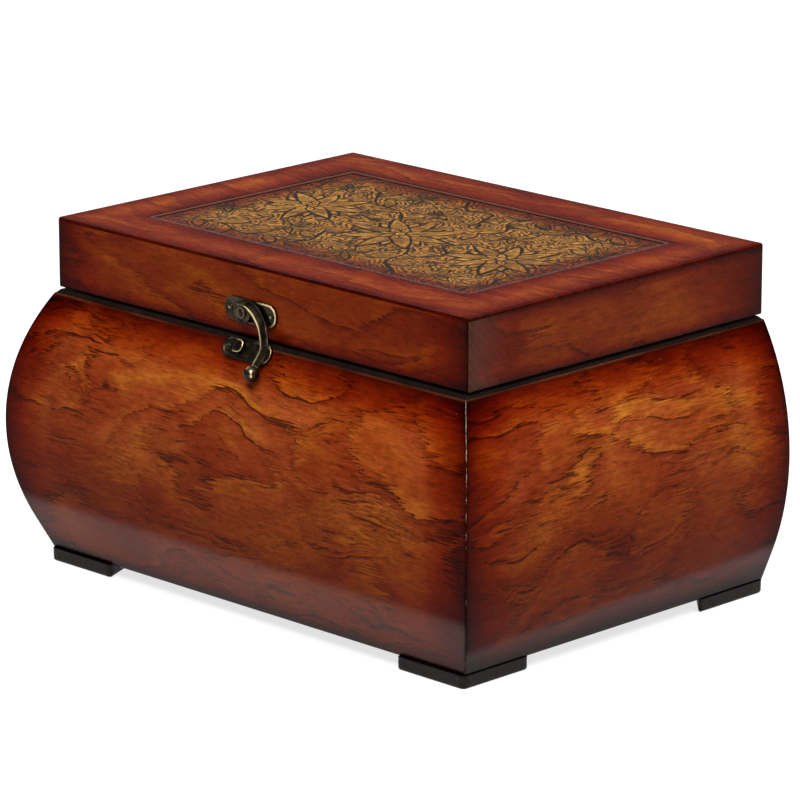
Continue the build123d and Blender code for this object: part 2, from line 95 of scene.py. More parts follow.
def colour(hex_value: str) -> Colour:
    """Turns an sRGB hex value into the linear colour that Blender's sockets take.

    Args:
        hex_value: Colour as "#rrggbb".

    Returns:
        Linear red, green, blue and an alpha of 1.
    """
    parts = [int(hex_value[i : i + 2], 16) / 255 for i in (1, 3, 5)]
    linear = [p / 12.92 if p <= 0.04045 else ((p + 0.055) / 1.055) ** 2.4 for p in parts]
    return (linear[0], linear[1], linear[2], 1.0)


def fill_inputs(node: Node, inputs: Inputs) -> None:
    """Links or sets inputs of a node.

    Args:
        node: Node to fill.
        inputs: Values or output sockets, in the order of the node's inputs or by their names.
    """
    for key, value in inputs.items() if isinstance(inputs, dict) else enumerate(inputs):
        if isinstance(value, Socket):
            node.id_data.links.new(value, node.inputs[key])
        else:
            node.inputs[key].default_value = value


def add_node(
    tree: NodeTree,
    kind: str,
    inputs: Inputs = (),
    output: int | str = 0,
    stops: Sequence[tuple[float, str]] = (),
    **settings: object,
) -> Socket:
    """Adds one shader node with its settings, input values and links.

    Args:
        tree: Node tree that gets the node.
        kind: Blender's name of the node's type, after "ShaderNode".
        inputs: Values or output sockets, as fill_inputs takes them.
        output: Which output is wanted.
        stops: Places and hex colours of a colour ramp, lowest first.
        settings: Attributes set on the node itself.

    Returns:
        The wanted output of the new node.
    """
    made = tree.nodes.new(f"ShaderNode{kind}")
    for name, value in settings.items():
        setattr(made, name, value)
    for index, (place, value) in enumerate(stops):
        points = made.color_ramp.elements
        point = points[index] if index < 2 else points.new(place)
        point.position = place
        point.color = colour(value)
    fill_inputs(made, inputs)
    return made.outputs[output]


def seen_share(add: NodeAdder) -> Socket:
    """Tells what the camera sees, straight, mirrored or through glass, from what only lights.

    Args:
        add: Adds a node.

    Returns:
        1 for what is seen and 0 for the rest.
    """
    rays = add("LightPath").node.outputs
    seen = add("Math", [rays["Is Camera Ray"], rays["Is Glossy Ray"]], operation="ADD")
    return add("Math", [seen, rays["Is Transmission Ray"]], operation="ADD", use_clamp=True)


def new_material(name: str) -> tuple[Material, NodeAdder, Node]:
    """Makes a material that holds only its Principled shader.

    Args:
        name: Name of the material.

    Returns:
        The material, the function that adds a node to it, and its Principled shader.
    """
    material = bpy.data.materials.new(name)
    material.use_nodes = True
    tree = material.node_tree
    return material, partial(add_node, tree), tree.nodes["Principled BSDF"]


class Side(Enum):
    """Sides of the box, each with the turn of its wall about the upright axis."""

    FRONT = 0
    RIGHT = 90
    BACK = 180
    LEFT = 270


class Body(Enum):
    """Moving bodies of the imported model."""

    BOX = "box"
    LID = "lid"
    HOOK = "swing_hook"


class Slot(Enum):
    """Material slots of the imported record."""

    VENEER = "veneer"
    BOARD = "black_board"
    FOOT = "foot_paint"
    LEATHER = "leather"
    FELT = "felt"
    BRONZE = "bronze"


@dataclass(frozen=True)
class BoxSizes:
    """Driving sizes of the box in millimetres, as the CAD source has them."""

    foot_height: float = 5.6
    veneer_top: float = 117.6
    lid_bottom: float = 119.8
    height: float = 150.0
    lid_width: float = 240.0
    lid_depth: float = 174.0
    lid_front: float = -81.414
    side_step: float = 0.6
    front_step: float = 2.0
    back_step: float = 0.6
    bow_radius: float = 110.0
    bow_middle: float = 61.3
    toe_angle: float = 22.7
    veneer: float = 0.6
    top_sheet: float = 1.6
    leather: float = 1.0
    panel_width: float = 184.0
    panel_depth: float = 118.0
    lid_round: float = 1.2
    lid_bottom_round: float = 0.8

    @property
    def front(self) -> float:
        """Y of the body's front at its top edge."""
        return self.lid_front - self.front_step

    @property
    def lid_back(self) -> float:
        """Y of the lid's back."""
        return self.lid_front + self.lid_depth

    @property
    def lid_middle(self) -> float:
        """Y of the lid's middle."""
        return self.lid_front + self.lid_depth / 2

    @property
    def back(self) -> float:
        """Y of the body's flat back."""
        return self.lid_back + self.back_step

    @property
    def side(self) -> float:
        """X of the body's right side at its top edge."""
        return self.lid_width / 2 + self.side_step

    @property
    def sheet_bottom(self) -> float:
        """Height of the underside of the lid's top veneer."""
        return self.height - self.top_sheet

    @property
    def arc_centre(self) -> float:
        """Outward place of the bow's centre, against the wall's top edge."""
        return -math.sqrt(self.bow_radius**2 - (self.veneer_top - self.bow_middle) ** 2)

    @property
    def toe_top(self) -> float:
        """Height at which the bow turns into the straight toe."""
        return self.bow_middle - self.bow_radius * math.sin(math.radians(self.toe_angle))

    def bow_out(self, z: float) -> float:
        """How far the wall stands out at a height.

        Args:
            z: Height above the table.

        Returns:
            Outward distance from the wall's top edge.
        """
        if z >= self.toe_top:
            return self.arc_centre + math.sqrt(self.bow_radius**2 - (z - self.bow_middle) ** 2)
        turn = math.radians(self.toe_angle)
        at_toe = self.arc_centre + self.bow_radius * math.cos(turn)
        return at_toe - (self.toe_top - z) * math.tan(turn)

    def bow_run(self, z: float) -> float:
        """Length along the wall's outer face from its lower edge up to a height.

        Args:
            z: Height above the table.

        Returns:
            Length in millimetres.
        """
        turn = math.radians(self.toe_angle)
        toe = (min(z, self.toe_top) - self.foot_height) / math.cos(turn)
        if z <= self.toe_top:
            return toe
        return toe + self.bow_radius * (math.asin((z - self.bow_middle) / self.bow_radius) + turn)


SIZES = BoxSizes()


# Mesh helpers


def mapped_grid(columns: int, rows: int, place: Callable[[float, float], Vector]) -> BMesh:
    """Makes a grid and moves every vertex to its place on a surface.

    Args:
        columns: Faces along the first direction.
        rows: Faces along the second direction.
        place: Gives the place for two shares from 0 to 1.

    Returns:
        A new bmesh.
    """
    bm = bmesh.new()
    bmesh.ops.create_grid(bm, x_segments=columns, y_segments=rows, size=0.5)
    for vert in bm.verts:
        vert.co = place(vert.co.x + 0.5, vert.co.y + 0.5)
    return bm


def spun(profile: Sequence[tuple[float, float]], steps: int) -> BMesh:
    """Turns a profile about the upright axis.

    Args:
        profile: Radius and height of each point, from the lower pole to the upper one.
        steps: Faces round the axis.

    Returns:
        A new closed bmesh.
    """
    bm = bmesh.new()
    points = [bm.verts.new((radius, 0, height)) for radius, height in profile]
    for first, second in zip(points, points[1:]):
        bm.edges.new((first, second))
    bmesh.ops.spin(
        bm, geom=bm.verts[:] + bm.edges[:], cent=(0, 0, 0), axis=(0, 0, 1), dvec=(0, 0, 0),
        angle=math.tau, space=Matrix.Identity(4), steps=steps, use_merge=True,
    )
    bmesh.ops.remove_doubles(bm, verts=bm.verts[:], dist=1e-4)
    bmesh.ops.recalc_face_normals(bm, faces=bm.faces[:])
    return bm


def round_edges(
    bm: BMesh, edges: Sequence[BMEdge], width: float, segments: int,
    clamp: bool = False,
) -> None:
    """Rounds edges.

    Args:
        bm: Mesh to change.
        edges: Its edges that are rounded.
        width: Width of the rounding in millimetres.
        segments: Faces across the rounding.
        clamp: Whether the rounding stays narrower where edges are close.
    """
    bmesh.ops.bevel(
        bm, geom=edges, offset=width, offset_type="OFFSET", segments=segments, profile=0.5,
        affect="EDGES", material=-1, clamp_overlap=clamp,
    )


def round_sharp(bm: BMesh, width: float, segments: int, limit: float) -> None:
    """Rounds every edge that is sharper than a limit.

    Args:
        bm: Mesh to change.
        width: Width of the rounding in millimetres.
        segments: Faces across the rounding.
        limit: Smallest angle between faces, in degrees.
    """
    sharp = [
        e for e in bm.edges
        if len(e.link_faces) == 2 and e.calc_face_angle(0.0) > math.radians(limit)
    ]
    round_edges(bm, sharp, width, segments, clamp=True)


def raise_slab(bm: BMesh, height: float) -> None:
    """Raises flat faces to a closed slab.

    Args:
        bm: Mesh to change.
        height: Height of the slab in millimetres.
    """
    raised = bmesh.ops.extrude_face_region(bm, geom=bm.faces[:], use_keep_orig=True)["geom"]
    lifted = [g for g in raised if isinstance(g, BMVert)]
    bmesh.ops.translate(bm, vec=(0, 0, height), verts=lifted)
    bmesh.ops.recalc_face_normals(bm, faces=bm.faces[:])


def thicken(bm: BMesh, outward: Vector, thickness: float) -> None:
    """Turns a sheet's faces outwards and gives it its thickness behind them.

    Args:
        bm: Mesh to change.
        outward: Direction that most of the faces look in.
        thickness: Thickness in millimetres.
    """
    bmesh.ops.recalc_face_normals(bm, faces=bm.faces[:])
    if sum(face.normal.dot(outward) for face in bm.faces) < 0:
        bmesh.ops.reverse_faces(bm, faces=bm.faces[:])
    bmesh.ops.solidify(bm, geom=bm.faces[:], thickness=thickness)


def mesh_from(bm: BMesh, name: str) -> Mesh:
    """Writes a bmesh to a new mesh and frees it.

    Args:
        bm: What is written.
        name: Name of the new mesh.

    Returns:
        The new mesh.
    """
    mesh = bpy.data.meshes.new(name)
    bm.to_mesh(mesh)
    bm.free()
    return mesh


def put_in_scene(name: str, data: ID) -> Object:
    """Makes an object of a mesh, light or camera and links it to the scene.

    Args:
        name: Name of the object.
        data: What it shows.

    Returns:
        The new object.
    """
    made = bpy.data.objects.new(name, data)
    bpy.context.scene.collection.objects.link(made)
    return made


def joined(parts: Sequence[BMesh]) -> BMesh:
    """Puts several meshes into one, without merging them.

    Args:
        parts: Meshes to join, which are freed.

    Returns:
        A new bmesh.
    """
    whole = bmesh.new()
    for part in parts:
        mesh = mesh_from(part, "part")
        whole.from_mesh(mesh)
        bpy.data.meshes.remove(mesh)
    return whole


def with_modifier(bm: BMesh, kind: str, **settings: object) -> BMesh:
    """Applies one modifier to a mesh.

    Args:
        bm: Mesh to change, which is freed.
        kind: Blender's name of the modifier's type.
        settings: Attributes of the modifier.

    Returns:
        The changed mesh.
    """
    mesh = mesh_from(bm, "work")
    work = put_in_scene("work", mesh)
    modifier = work.modifiers.new("step", kind)
    for name, value in settings.items():
        setattr(modifier, name, value)
    depsgraph = bpy.context.evaluated_depsgraph_get()
    changed = bpy.data.meshes.new_from_object(work.evaluated_get(depsgraph))
    made = bmesh.new()
    made.from_mesh(changed)
    bpy.data.objects.remove(work)
    bpy.data.meshes.remove(mesh)
    bpy.data.meshes.remove(changed)
    return made


def set_wear_and_highlight(bm: BMesh, amount: Callable[[Vector], float]) -> None:
    """Writes the wear and painted highlight of each vertex, as the attribute that the bronze reads.

    Args:
        bm: Mesh to change.
        amount: Gives the wear and painted highlight, from 0 to 1, at a place.
    """
    layer = bm.verts.layers.float.get("wear") or bm.verts.layers.float.new("wear")
    for vert in bm.verts:
        vert[layer] = min(max(amount(vert.co), 0.0), 1.0)


@dataclass
class Piece:
    """One finished piece: its mesh in millimetres and what it belongs to."""

    name: str
    bm: BMesh
    body: Body
    slot: Slot
    material: Material
    replaces: Sequence[str] = ()
    maps: dict[str, PlaneMap] = field(default_factory=dict)
    sharp_angle: float = 40.0

    def finish(self) -> Object:
        """Writes the mesh in metres, hands the piece to the frame and reports it.

        Returns:
            The new object, with its place in its mesh.
        """
        for name, plane in self.maps.items():
            layer = self.bm.loops.layers.uv.new(name)
            for face in self.bm.faces:
                for loop in face.loops:
                    loop[layer].uv = plane(loop.vert.co)
        bmesh.ops.scale(self.bm, vec=(MM, MM, MM), verts=self.bm.verts[:])
        mesh = mesh_from(self.bm, self.name)
        mesh.polygons.foreach_set("use_smooth", [True] * len(mesh.polygons))
        mesh.set_sharp_from_angle(angle=math.radians(self.sharp_angle))
        mesh.materials.append(self.material)
        made = put_in_scene(self.name, mesh)
        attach(made, self.body.value)
        if self.replaces:
            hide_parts(*self.replaces)
        LOG.info("%s: %d faces on %s", self.name, len(mesh.polygons), self.body.value)
        return made


# Finishes


@dataclass(frozen=True)
class GrainForm:
    """One form of the figure, where the knife cut over or under a swelling of the trunk."""

    along: float
    across: float
    half_along: float
    half_across: float
    rise: float = 0.0
    yellow: float = 0.0


@dataclass(frozen=True)
class SheetEdges:
    """Metres from a place on a sheet to its nearest end, its low edge and its high edge."""

    end: Socket
    low: Socket
    high: Socket


@dataclass(frozen=True)
class LacqueredVeneer:
    """Figured wood veneer, stained red-brown, burnished dark at its edges and lacquered.

    The knife cut the growth rings at a shallow angle. A ring starts yellow in places and ends in
    a thin dark line, torn into short strokes along the grain, which comes and goes. The lacquer is
    thin and satin on the upper part of a wall, and thick and glossy on its toe.
    """

    name: str
    height: float
    rings: float = 12.0
    stretch: tuple[float, float] = (9.0, 20.0)
    forms: Sequence[GrainForm] = ()
    lines: float = 1.0
    ends: float = 10.0
    low: float = 8.0
    high: float = 5.0
    black_shaded_toe: bool = False
    tone: str = "#ffffff"
    shift: float = 0.0
    glossy_below: tuple[float, float] | None = None
    gloss: float = 0.15
    thin_gloss: float = 0.03
    window_edge: bool = False
    burnt: float = 0.0
    chips: float = 0.14
    # where a painted reflection with scuffs starts along the sheet, in millimetres; 0 leaves it out
    scuffed: float = 0.0
    red_burnish: Sequence[tuple[float, str]] = (
        (0.0, "#471f0c"), (0.1, "#8a4c28"), (0.28, "#b07044"), (0.55, "#d8a278"), (0.85, "#f4dcc6"),
        (1.0, "#ffffff"),
    )
    # toning at a wall's low edge that turns black, partly as painted shade near the floor
    black_burnish_and_shade: Sequence[tuple[float, str]] = (
        (0.0, "#1c1210"), (0.12, "#4a332c"), (0.35, "#a08070"), (0.7, "#ecd8cc"), (1.0, "#ffffff"),
    )

    def build(self) -> Material:
        """Makes the material.

        Returns:
            The material, which reads the UV maps "grain" and "border".
        """
        material, add, shader = new_material(self.name)
        grain = add("UVMap", uv_map="grain")
        to_end, to_low, _ = add("SeparateXYZ", [add("UVMap", uv_map="border")]).node.outputs
        to_high = add("Math", [self.height * MM, to_low], operation="SUBTRACT")
        edges = SheetEdges(to_end, to_low, to_high)
        wood = self._figure(add, grain)
        wood = self._fibres(add, grain, wood)
        wood = self._burnish(add, grain, edges, wood)
        wood = self._wear(add, grain, edges, wood)
        # ripples 2.5 mm apart in the sprayed lacquer, with the fibres just showing through
        ripple = self._streaks(add, grain, (420, 420), 2.0, 0.5, 99.0)
        fill_inputs(shader, {
            "Base Color": wood,
            "Roughness": add("MapRange", [ripple, 0.3, 0.7, 0.2, 0.3], **EASED),
            "Normal": add("Bump", {"Strength": 0.6, "Distance": 0.00003, "Height": ripple}),
            "IOR": 1.5,
            "Specular IOR Level": self._gloss(add, grain) if self.glossy_below else self.thin_gloss,
            # the amber lacquer warms what it mirrors
            "Specular Tint": colour("#ffd8c2"),
        })
        return material

    def _streaks(
        self, add: NodeAdder, place: Socket, scale: tuple[float, float], detail: float = 2.0,
        roughness: float = 0.5, offset: float = 0.0, output: str = "Fac",
    ) -> Socket:
        """Makes streaks along the grain, at another place of the pattern on each sheet.

        Args:
            add: Adds a node.
            place: Place on the sheet in metres.
            scale: Streaks per metre along and across the grain.
            detail: Octaves of the pattern.
            roughness: Strength of the finer octaves.
            offset: Moves the pattern, so that two patterns of one scale differ.
            output: Name of the output.

        Returns:
            The pattern.
        """
        moved = (offset, self.shift, offset + self.shift)
        stretched = add("Mapping", {"Vector": place, "Location": moved, "Scale": (*scale, 1)})
        inputs = {"Vector": stretched, "Scale": 1.0, "Detail": detail, "Roughness": roughness}
        return add("TexNoise", inputs, output)

    def _near(self, add: NodeAdder, place: Socket, form: GrainForm) -> Socket:
        """Finds how far a place is inside a form.

        Args:
            add: Adds a node.
            place: Place on the sheet in metres.
            form: Form of the figure.

        Returns:
            0 at the form's rim to 1 half way in.
        """
        local = add("Mapping", {
            "Vector": place,
            "Location": (-form.along / form.half_along, -form.across / form.half_across, 0),
            "Scale": (1000 / form.half_along, 1000 / form.half_across, 0),
        })
        away = add("VectorMath", [local], "Value", operation="LENGTH")
        return add("MapRange", [away, 1.0, 0.5], **EASED)

    def _ring(self, add: NodeAdder, place: Socket) -> Socket:
        """Counts the growth rings at a place.

        Args:
            add: Adds a node.
            place: Place on the sheet in metres, with its edges torn.

        Returns:
            Number of the ring, with the share of the way to the next.
        """
        depth = self._streaks(add, place, self.stretch, 2.0, 0.4)
        for form in self.forms:
            if form.rise:
                near = self._near(add, place, form)
                depth = add("Math", [near, form.rise, depth], operation="MULTIPLY_ADD")
        return add("Math", [depth, self.rings], operation="MULTIPLY")

    def _torn(self, add: NodeAdder, grain: Socket) -> Socket:
        """Moves places aside in swirls, and tears them along the fibres.

        Args:
            add: Adds a node.
            grain: Place on the sheet in metres.

        Returns:
            The place that the rings are read at.
        """
        # swirls 50 mm across push the rings aside by up to 8 mm, and small ones by 1 mm
        swirl = self._streaks(add, grain, (17, 24), 3.0, 0.45, output="Color")
        swirl = add("VectorMath", [swirl, (0.5, 0.5, 0.5)], operation="SUBTRACT")
        swirl = add("VectorMath", [swirl, (0.07, 0.045, 0)], operation="MULTIPLY")
        warped = add("VectorMath", [grain, swirl], operation="ADD")
        # fibres 0.9 mm wide tear the edges along the grain by up to 4 mm
        tear = self._streaks(add, grain, (30, 1000), 3.0, 0.7, 5.0)
        tear = add("Math", [tear, 0.05, -0.025], operation="MULTIPLY_ADD")
        return add("VectorMath", [warped, add("CombineXYZ", [tear])], operation="ADD")

    def _figure(self, add: NodeAdder, grain: Socket) -> Socket:
        """Colours the growth rings.

        Args:
            add: Adds a node.
            grain: Place on the sheet in metres, along and across the grain.

        Returns:
            Colour of the wood before its fibres are drawn.
        """
        torn = self._torn(add, grain)
        ring = self._ring(add, torn)
        share = add("Math", [ring], operation="FRACT")
        cloud = self._streaks(add, grain, (24, 40), 5.0, 0.6, 3.0)
        wood = add(
            "ValToRGB", [cloud], stops=[(0.32, "#8e3c1b"), (0.5, "#9e4a23"), (0.68, "#ae5e29")]
        )
        # the yellow start of a ring shows in patches
        patch = self._streaks(add, grain, (22, 46), 4.0, 0.62, 14.0)
        patch = add("MapRange", [patch, 0.38, 0.56], **EASED)
        start = add("MapRange", [share, 0.55, 0.0], **EASED)
        shown = add("Math", [patch, start], operation="MULTIPLY")
        inside = add("Math", [start, 0.5, 0.5], operation="MULTIPLY_ADD")
        for form in self.forms:
            if form.yellow:
                glow = add("Math", [self._near(add, torn, form), inside], operation="MULTIPLY")
                glow = add("Math", [glow, form.yellow], operation="MULTIPLY")
                shown = add("Math", [shown, glow], operation="MAXIMUM")
        mottle = self._streaks(add, grain, (60, 150), 4.0, 0.65, 17.0)
        mottle = add("MapRange", [mottle, 0.36, 0.6, 0.3], **EASED)
        shown = add("Math", [shown, mottle], operation="MULTIPLY")
        shown = add("Math", [shown, 0.85], operation="MULTIPLY")
        wood = add("Mix", {0: shown, 6: wood, 7: colour("#bd7426")}, **MIXED)
        late = add("MapRange", [share, 0.5, 1.0, 0.0, 0.55], **EASED)
        wood = add("Mix", {0: late, 6: wood, 7: colour("#782d13")}, **MIXED)
        # strokes gather at the end of a ring, and join on the line where the next one starts
        beside = add("VectorMath", [torn, (0.0011, 0.0009, 0)], operation="ADD")
        here, there = (
            add("Math", [count], operation="FLOOR") for count in (ring, self._ring(add, beside))
        )
        same = add("Math", [here, there, 0.5], operation="COMPARE")
        late = add("MapRange", [share, 0.82, 1.0, 0.17, 0.4], **EASED)
        dense = add("Math", [same, -0.18, late], operation="MULTIPLY_ADD")
        return self._strokes(add, grain, torn, wood, dense)

    def _strokes(
        self, add: NodeAdder, grain: Socket, torn: Socket, wood: Socket, dense: Socket
    ) -> Socket:
        """Draws dark strokes along the fibres.

        Args:
            add: Adds a node.
            grain: Place on the sheet in metres.
            torn: Place that the rings are read at.
            wood: Colour so far.
            dense: How densely the strokes lie, from 0 to 0.4.

        Returns:
            The new colour.
        """
        # strokes 12 mm long and 1 mm wide, which lean with the swirls of the rings
        fibre = self._streaks(add, torn, (62, 760), 4.0, 0.65, 9.0)
        # over 30 mm they join to a line, part or fade away
        strong = self._streaks(add, grain, (30, 44), 3.0, 0.6, 21.0)
        level = add("Math", [strong, 0.6, fibre], operation="MULTIPLY_ADD")
        level = add("Math", [level, dense], operation="ADD")
        dark = add("MapRange", [level, 0.92, 1.02, 0.0, 0.82 * self.lines], **EASED)
        return add("Mix", {0: dark, 6: wood, 7: colour("#421c0c")}, **MIXED)

    def _fibres(self, add: NodeAdder, grain: Socket, wood: Socket) -> Socket:
        """Draws fine fibres and the ripple of light on the wood.

        Args:
            add: Adds a node.
            grain: Place on the sheet in metres.
            wood: Colour so far.

        Returns:
            The new colour.
        """
        # fibres 8 mm long and 0.4 mm wide; real ones are half as wide
        fine = self._streaks(add, grain, (125, 2500), 3.0, 0.6, 51.0)
        tint = add(
            "ValToRGB", [fine], stops=[(0.28, "#8f8078"), (0.46, "#dcd3cc"), (0.6, "#ffffff")]
        )
        wood = add("Mix", {0: 0.55, 6: wood, 7: tint}, **MULTIPLIED)
        # painted ripple of light: strokes of 3 mm, where fibres dip in and out of the sheet
        dips = self._streaks(add, grain, (190, 480), 4.0, 0.72, 60.0)
        tint = add(
            "ValToRGB", [dips], stops=[(0.32, "#a3806e"), (0.5, "#e6d6c8"), (0.66, "#ffffff")]
        )
        wood = add("Mix", {0: 0.6, 6: wood, 7: tint}, **MULTIPLIED)
        # the stain took unevenly over 70 mm
        stain = self._streaks(add, grain, (14, 20), 3.0, 0.55, 70.0)
        stain = add("MapRange", [stain, 0.6, 0.38, 0.0, 0.5], **EASED)
        wood = add("Mix", {0: stain, 6: wood, 7: colour("#d08c78")}, **MULTIPLIED)
        return add("Mix", {0: 1.0, 6: wood, 7: colour(self.tone)}, **MULTIPLIED)

    def _burnish(self, add: NodeAdder, grain: Socket, edges: SheetEdges, wood: Socket) -> Socket:
        """Tones the wood dark red and then black towards its edges; on a wall, shade is painted
        down to the toe and into the black at its low edge.

        Args:
            add: Adds a node.
            grain: Place on the sheet in metres.
            edges: Distances to the sheet's edges.
            wood: Colour so far.

        Returns:
            The new colour.
        """
        # the sprayed shade wanders by a few millimetres over 40 mm
        drift = self._streaks(add, grain, (30, 30), 4.0, 0.55, 75.0)
        if self.glossy_below:
            # painted shade: the wall is darkened as it runs down and in to its toe, where less
            # light falls
            toe = add("MapRange", [edges.low, 0.085, 0.025], **EASED)
            wood = add("Mix", {0: toe, 6: wood, 7: colour("#d6ae70")}, **MULTIPLIED)
        for away, reach, stops in (
            (edges.end, self.ends, self.red_burnish),
            # a wall's low edge turns black: toning, and painted shade near the floor
            (edges.low, self.low, self.black_burnish_and_shade if self.black_shaded_toe else self.red_burnish),
            (edges.high, self.high, self.red_burnish),
        ):
            if reach > 0:
                per_metre = 0.5 / (reach * MM)
                level = add("Math", [away, per_metre, -0.1 - self.burnt], operation="MULTIPLY_ADD")
                level = add("Math", [drift, 0.2, level], operation="MULTIPLY_ADD")
                shade = add("ValToRGB", [level], stops=stops)
                wood = add("Mix", {0: 1.0, 6: wood, 7: shade}, **MULTIPLIED)
        return wood

    def _wear(self, add: NodeAdder, grain: Socket, edges: SheetEdges, wood: Socket) -> Socket:
        """Rubs the sharp edges pale, where chipped lacquer shows the filler under it, and paints a
        hazy reflection with the scuffs and a highlight on the window's bevel.

        Args:
            add: Adds a node.
            grain: Place on the sheet in metres.
            edges: Distances to the sheet's edges.
            wood: Colour so far.

        Returns:
            The new colour.
        """
        if self.scuffed:
            # painted reflection and scratches: a greyish haze with dull scratches 10 mm long beside
            # the left end of the sheet
            place = add("Mapping", {"Vector": grain, "Rotation": (0, 0, 0.9)})
            scratch = self._streaks(add, place, (90, 900), 4.0, 0.7, 95.0)
            scratch = add("MapRange", [scratch, 0.3, 0.7, 0.7, 1.3], **EASED)
            along = add("SeparateXYZ", [grain])
            limits = [(self.scuffed + 26) * MM, self.scuffed * MM]
            zone = add("MapRange", [along, *limits, 0.04, 0.2], **EASED)
            sheen_and_scratches = add("Math", [zone, scratch], operation="MULTIPLY")
            wood = add("Mix", {0: sheen_and_scratches, 6: wood, 7: colour("#946454")}, **MIXED)
        chip = self._streaks(add, grain, (300, 300), 4.0, 0.75, 80.0)
        run = self._streaks(add, grain, (25, 25), 2.0, 0.5, 90.0)
        # a chipped line 0.4 mm wide, mostly on the upper half
        edge = add("MapRange", [edges.end, 0.0006, 0.0001, 0.0, 0.34], **EASED)
        upper = add("MapRange", [edges.low, 0.03, 0.1, self.chips - 0.14, self.chips], **EASED)
        level = add("Math", [run, 0.5, chip], operation="MULTIPLY_ADD")
        level = add("Math", [level, add("Math", [edge, upper], operation="ADD")], operation="ADD")
        chipped = add("MapRange", [level, 1.1, 1.2, 0.0, 0.8], **EASED)
        wood = add("Mix", {0: chipped, 6: wood, 7: colour("#a8948a")}, **MIXED)
        if self.glossy_below:
            # the wall's top edge is drawn lighter brown in places, 0.8 mm wide, as wear and as a
            # painted highlight
            top = add("MapRange", [edges.high, 0.0012, 0.0004, 0.0, 0.45], **EASED)
            patchy = add("MapRange", [run, 0.35, 0.6, 0.2, 1.0], **EASED)
            rubbed = add("Math", [top, patchy], operation="MULTIPLY")
            wood = add("Mix", {0: rubbed, 6: wood, 7: colour("#5c2f1a")}, **MIXED)
        if self.window_edge:
            # painted highlight with some wear: the window's bevel is drawn pale, 0.4 mm wide, where
            # it catches light
            rim = add("MapRange", [edges.low, 0.0005, 0.0001, 0.0, 0.6], **EASED)
            wood = add("Mix", {0: rim, 6: wood, 7: colour("#70554a")}, **MIXED)
            cut = add("MapRange", [edges.low, -0.0001, -0.0003], **EASED)
            wood = add("Mix", {0: cut, 6: wood, 7: colour("#3a1c14")}, **MIXED)
        return wood

    def _gloss(self, add: NodeAdder, grain: Socket) -> Socket:
        """Finds how strongly the lacquer mirrors on a wall.

        Args:
            add: Adds a node.
            grain: Place on the sheet in metres.

        Returns:
            Specular level of the lacquer.
        """
        # the thick lacquer reaches up to a level that climbs from the left end to the right one
        along, up, _ = add("SeparateXYZ", [grain]).node.outputs
        first, second = self.glossy_below
        slope = (first - second) / SIZES.lid_width
        level = add("Math", [along, slope, up], operation="MULTIPLY_ADD")
        middle = (first + second) / 2 * MM
        coat = add("MapRange", [level, middle - 0.003, middle + 0.004, self.gloss, 0.0], **EASED)
        # it thins out again towards the bottom edge
        thin = add("MapRange", [up, 0.0, middle, 0.5], **EASED)
        return add("Math", [coat, thin, self.thin_gloss], operation="MULTIPLY_ADD")


@dataclass(frozen=True)
class PaintedBoard:
    """Fibreboard brushed with black paint: satin, with faint brush marks and greyer patches."""

    name: str = "black_painted_board"
    deep: str = "#0b0604"
    rubbed: str = "#1e110b"

    def build(self) -> Material:
        """Makes the material.

        Returns:
            The material, which reads Object coordinates.
        """
        material, add, shader = new_material(self.name)
        place = add("TexCoord", output="Object")
        # brush marks 1.2 mm apart and 30 mm long
        stroke = add("Mapping", {"Vector": place, "Scale": (35, 35, 800)})
        stroke = add("TexNoise", {"Vector": stroke, "Scale": 1.0, "Detail": 3.0})
        # dust and rubbing in patches of 10 mm
        dust = add("TexNoise", {"Vector": place, "Scale": 95.0, "Detail": 6.0, "Roughness": 0.65})
        fill_inputs(shader, {
            "Base Color": add("ValToRGB", [dust], stops=[(0.35, self.deep), (0.75, self.rubbed)]),
            "Roughness": add("MapRange", [dust, 0.3, 0.7, 0.42, 0.62]),
            "Normal": add("Bump", {"Strength": 0.7, "Distance": 0.00008, "Height": stroke}),
            "Specular IOR Level": 0.05,
        })
        return material


@dataclass(frozen=True)
class FootPaint:
    """Thick brown-black paint on rough wood blocks, lumpy and dull, browner on its lumps."""

    name: str = "rough_foot_paint"

    def build(self) -> Material:
        """Makes the material.

        Returns:
            The material, which reads Object coordinates.
        """
        material, add, shader = new_material(self.name)
        place = add("TexCoord", output="Object")
        # lumps of paint 2 mm across
        lumps = add("TexNoise", {"Vector": place, "Scale": 480.0, "Detail": 5.0, "Roughness": 0.7})
        browns = [(0.35, "#0e0907"), (0.58, "#1b1411"), (0.75, "#32261f")]
        paint = add("ValToRGB", [lumps], stops=browns)
        # painted shadow: a ragged near-black line, 0.6 mm high, at the top of the foot where the
        # wall overhangs it
        _, _, height = add("SeparateXYZ", [place]).node.outputs
        ragged = add("Math", [lumps, 0.0014, height], operation="MULTIPLY_ADD")
        line = add("MapRange", [ragged, 0.0054, 0.0058, 0.0, 0.9])
        fill_inputs(shader, {
            "Base Color": add("Mix", {0: line, 6: paint, 7: colour("#060404")}, **MIXED),
            "Normal": add("Bump", {"Strength": 0.8, "Distance": 0.00035, "Height": lumps}),
            "Roughness": 0.5,
            "Specular IOR Level": 0.15,
        })
        return material


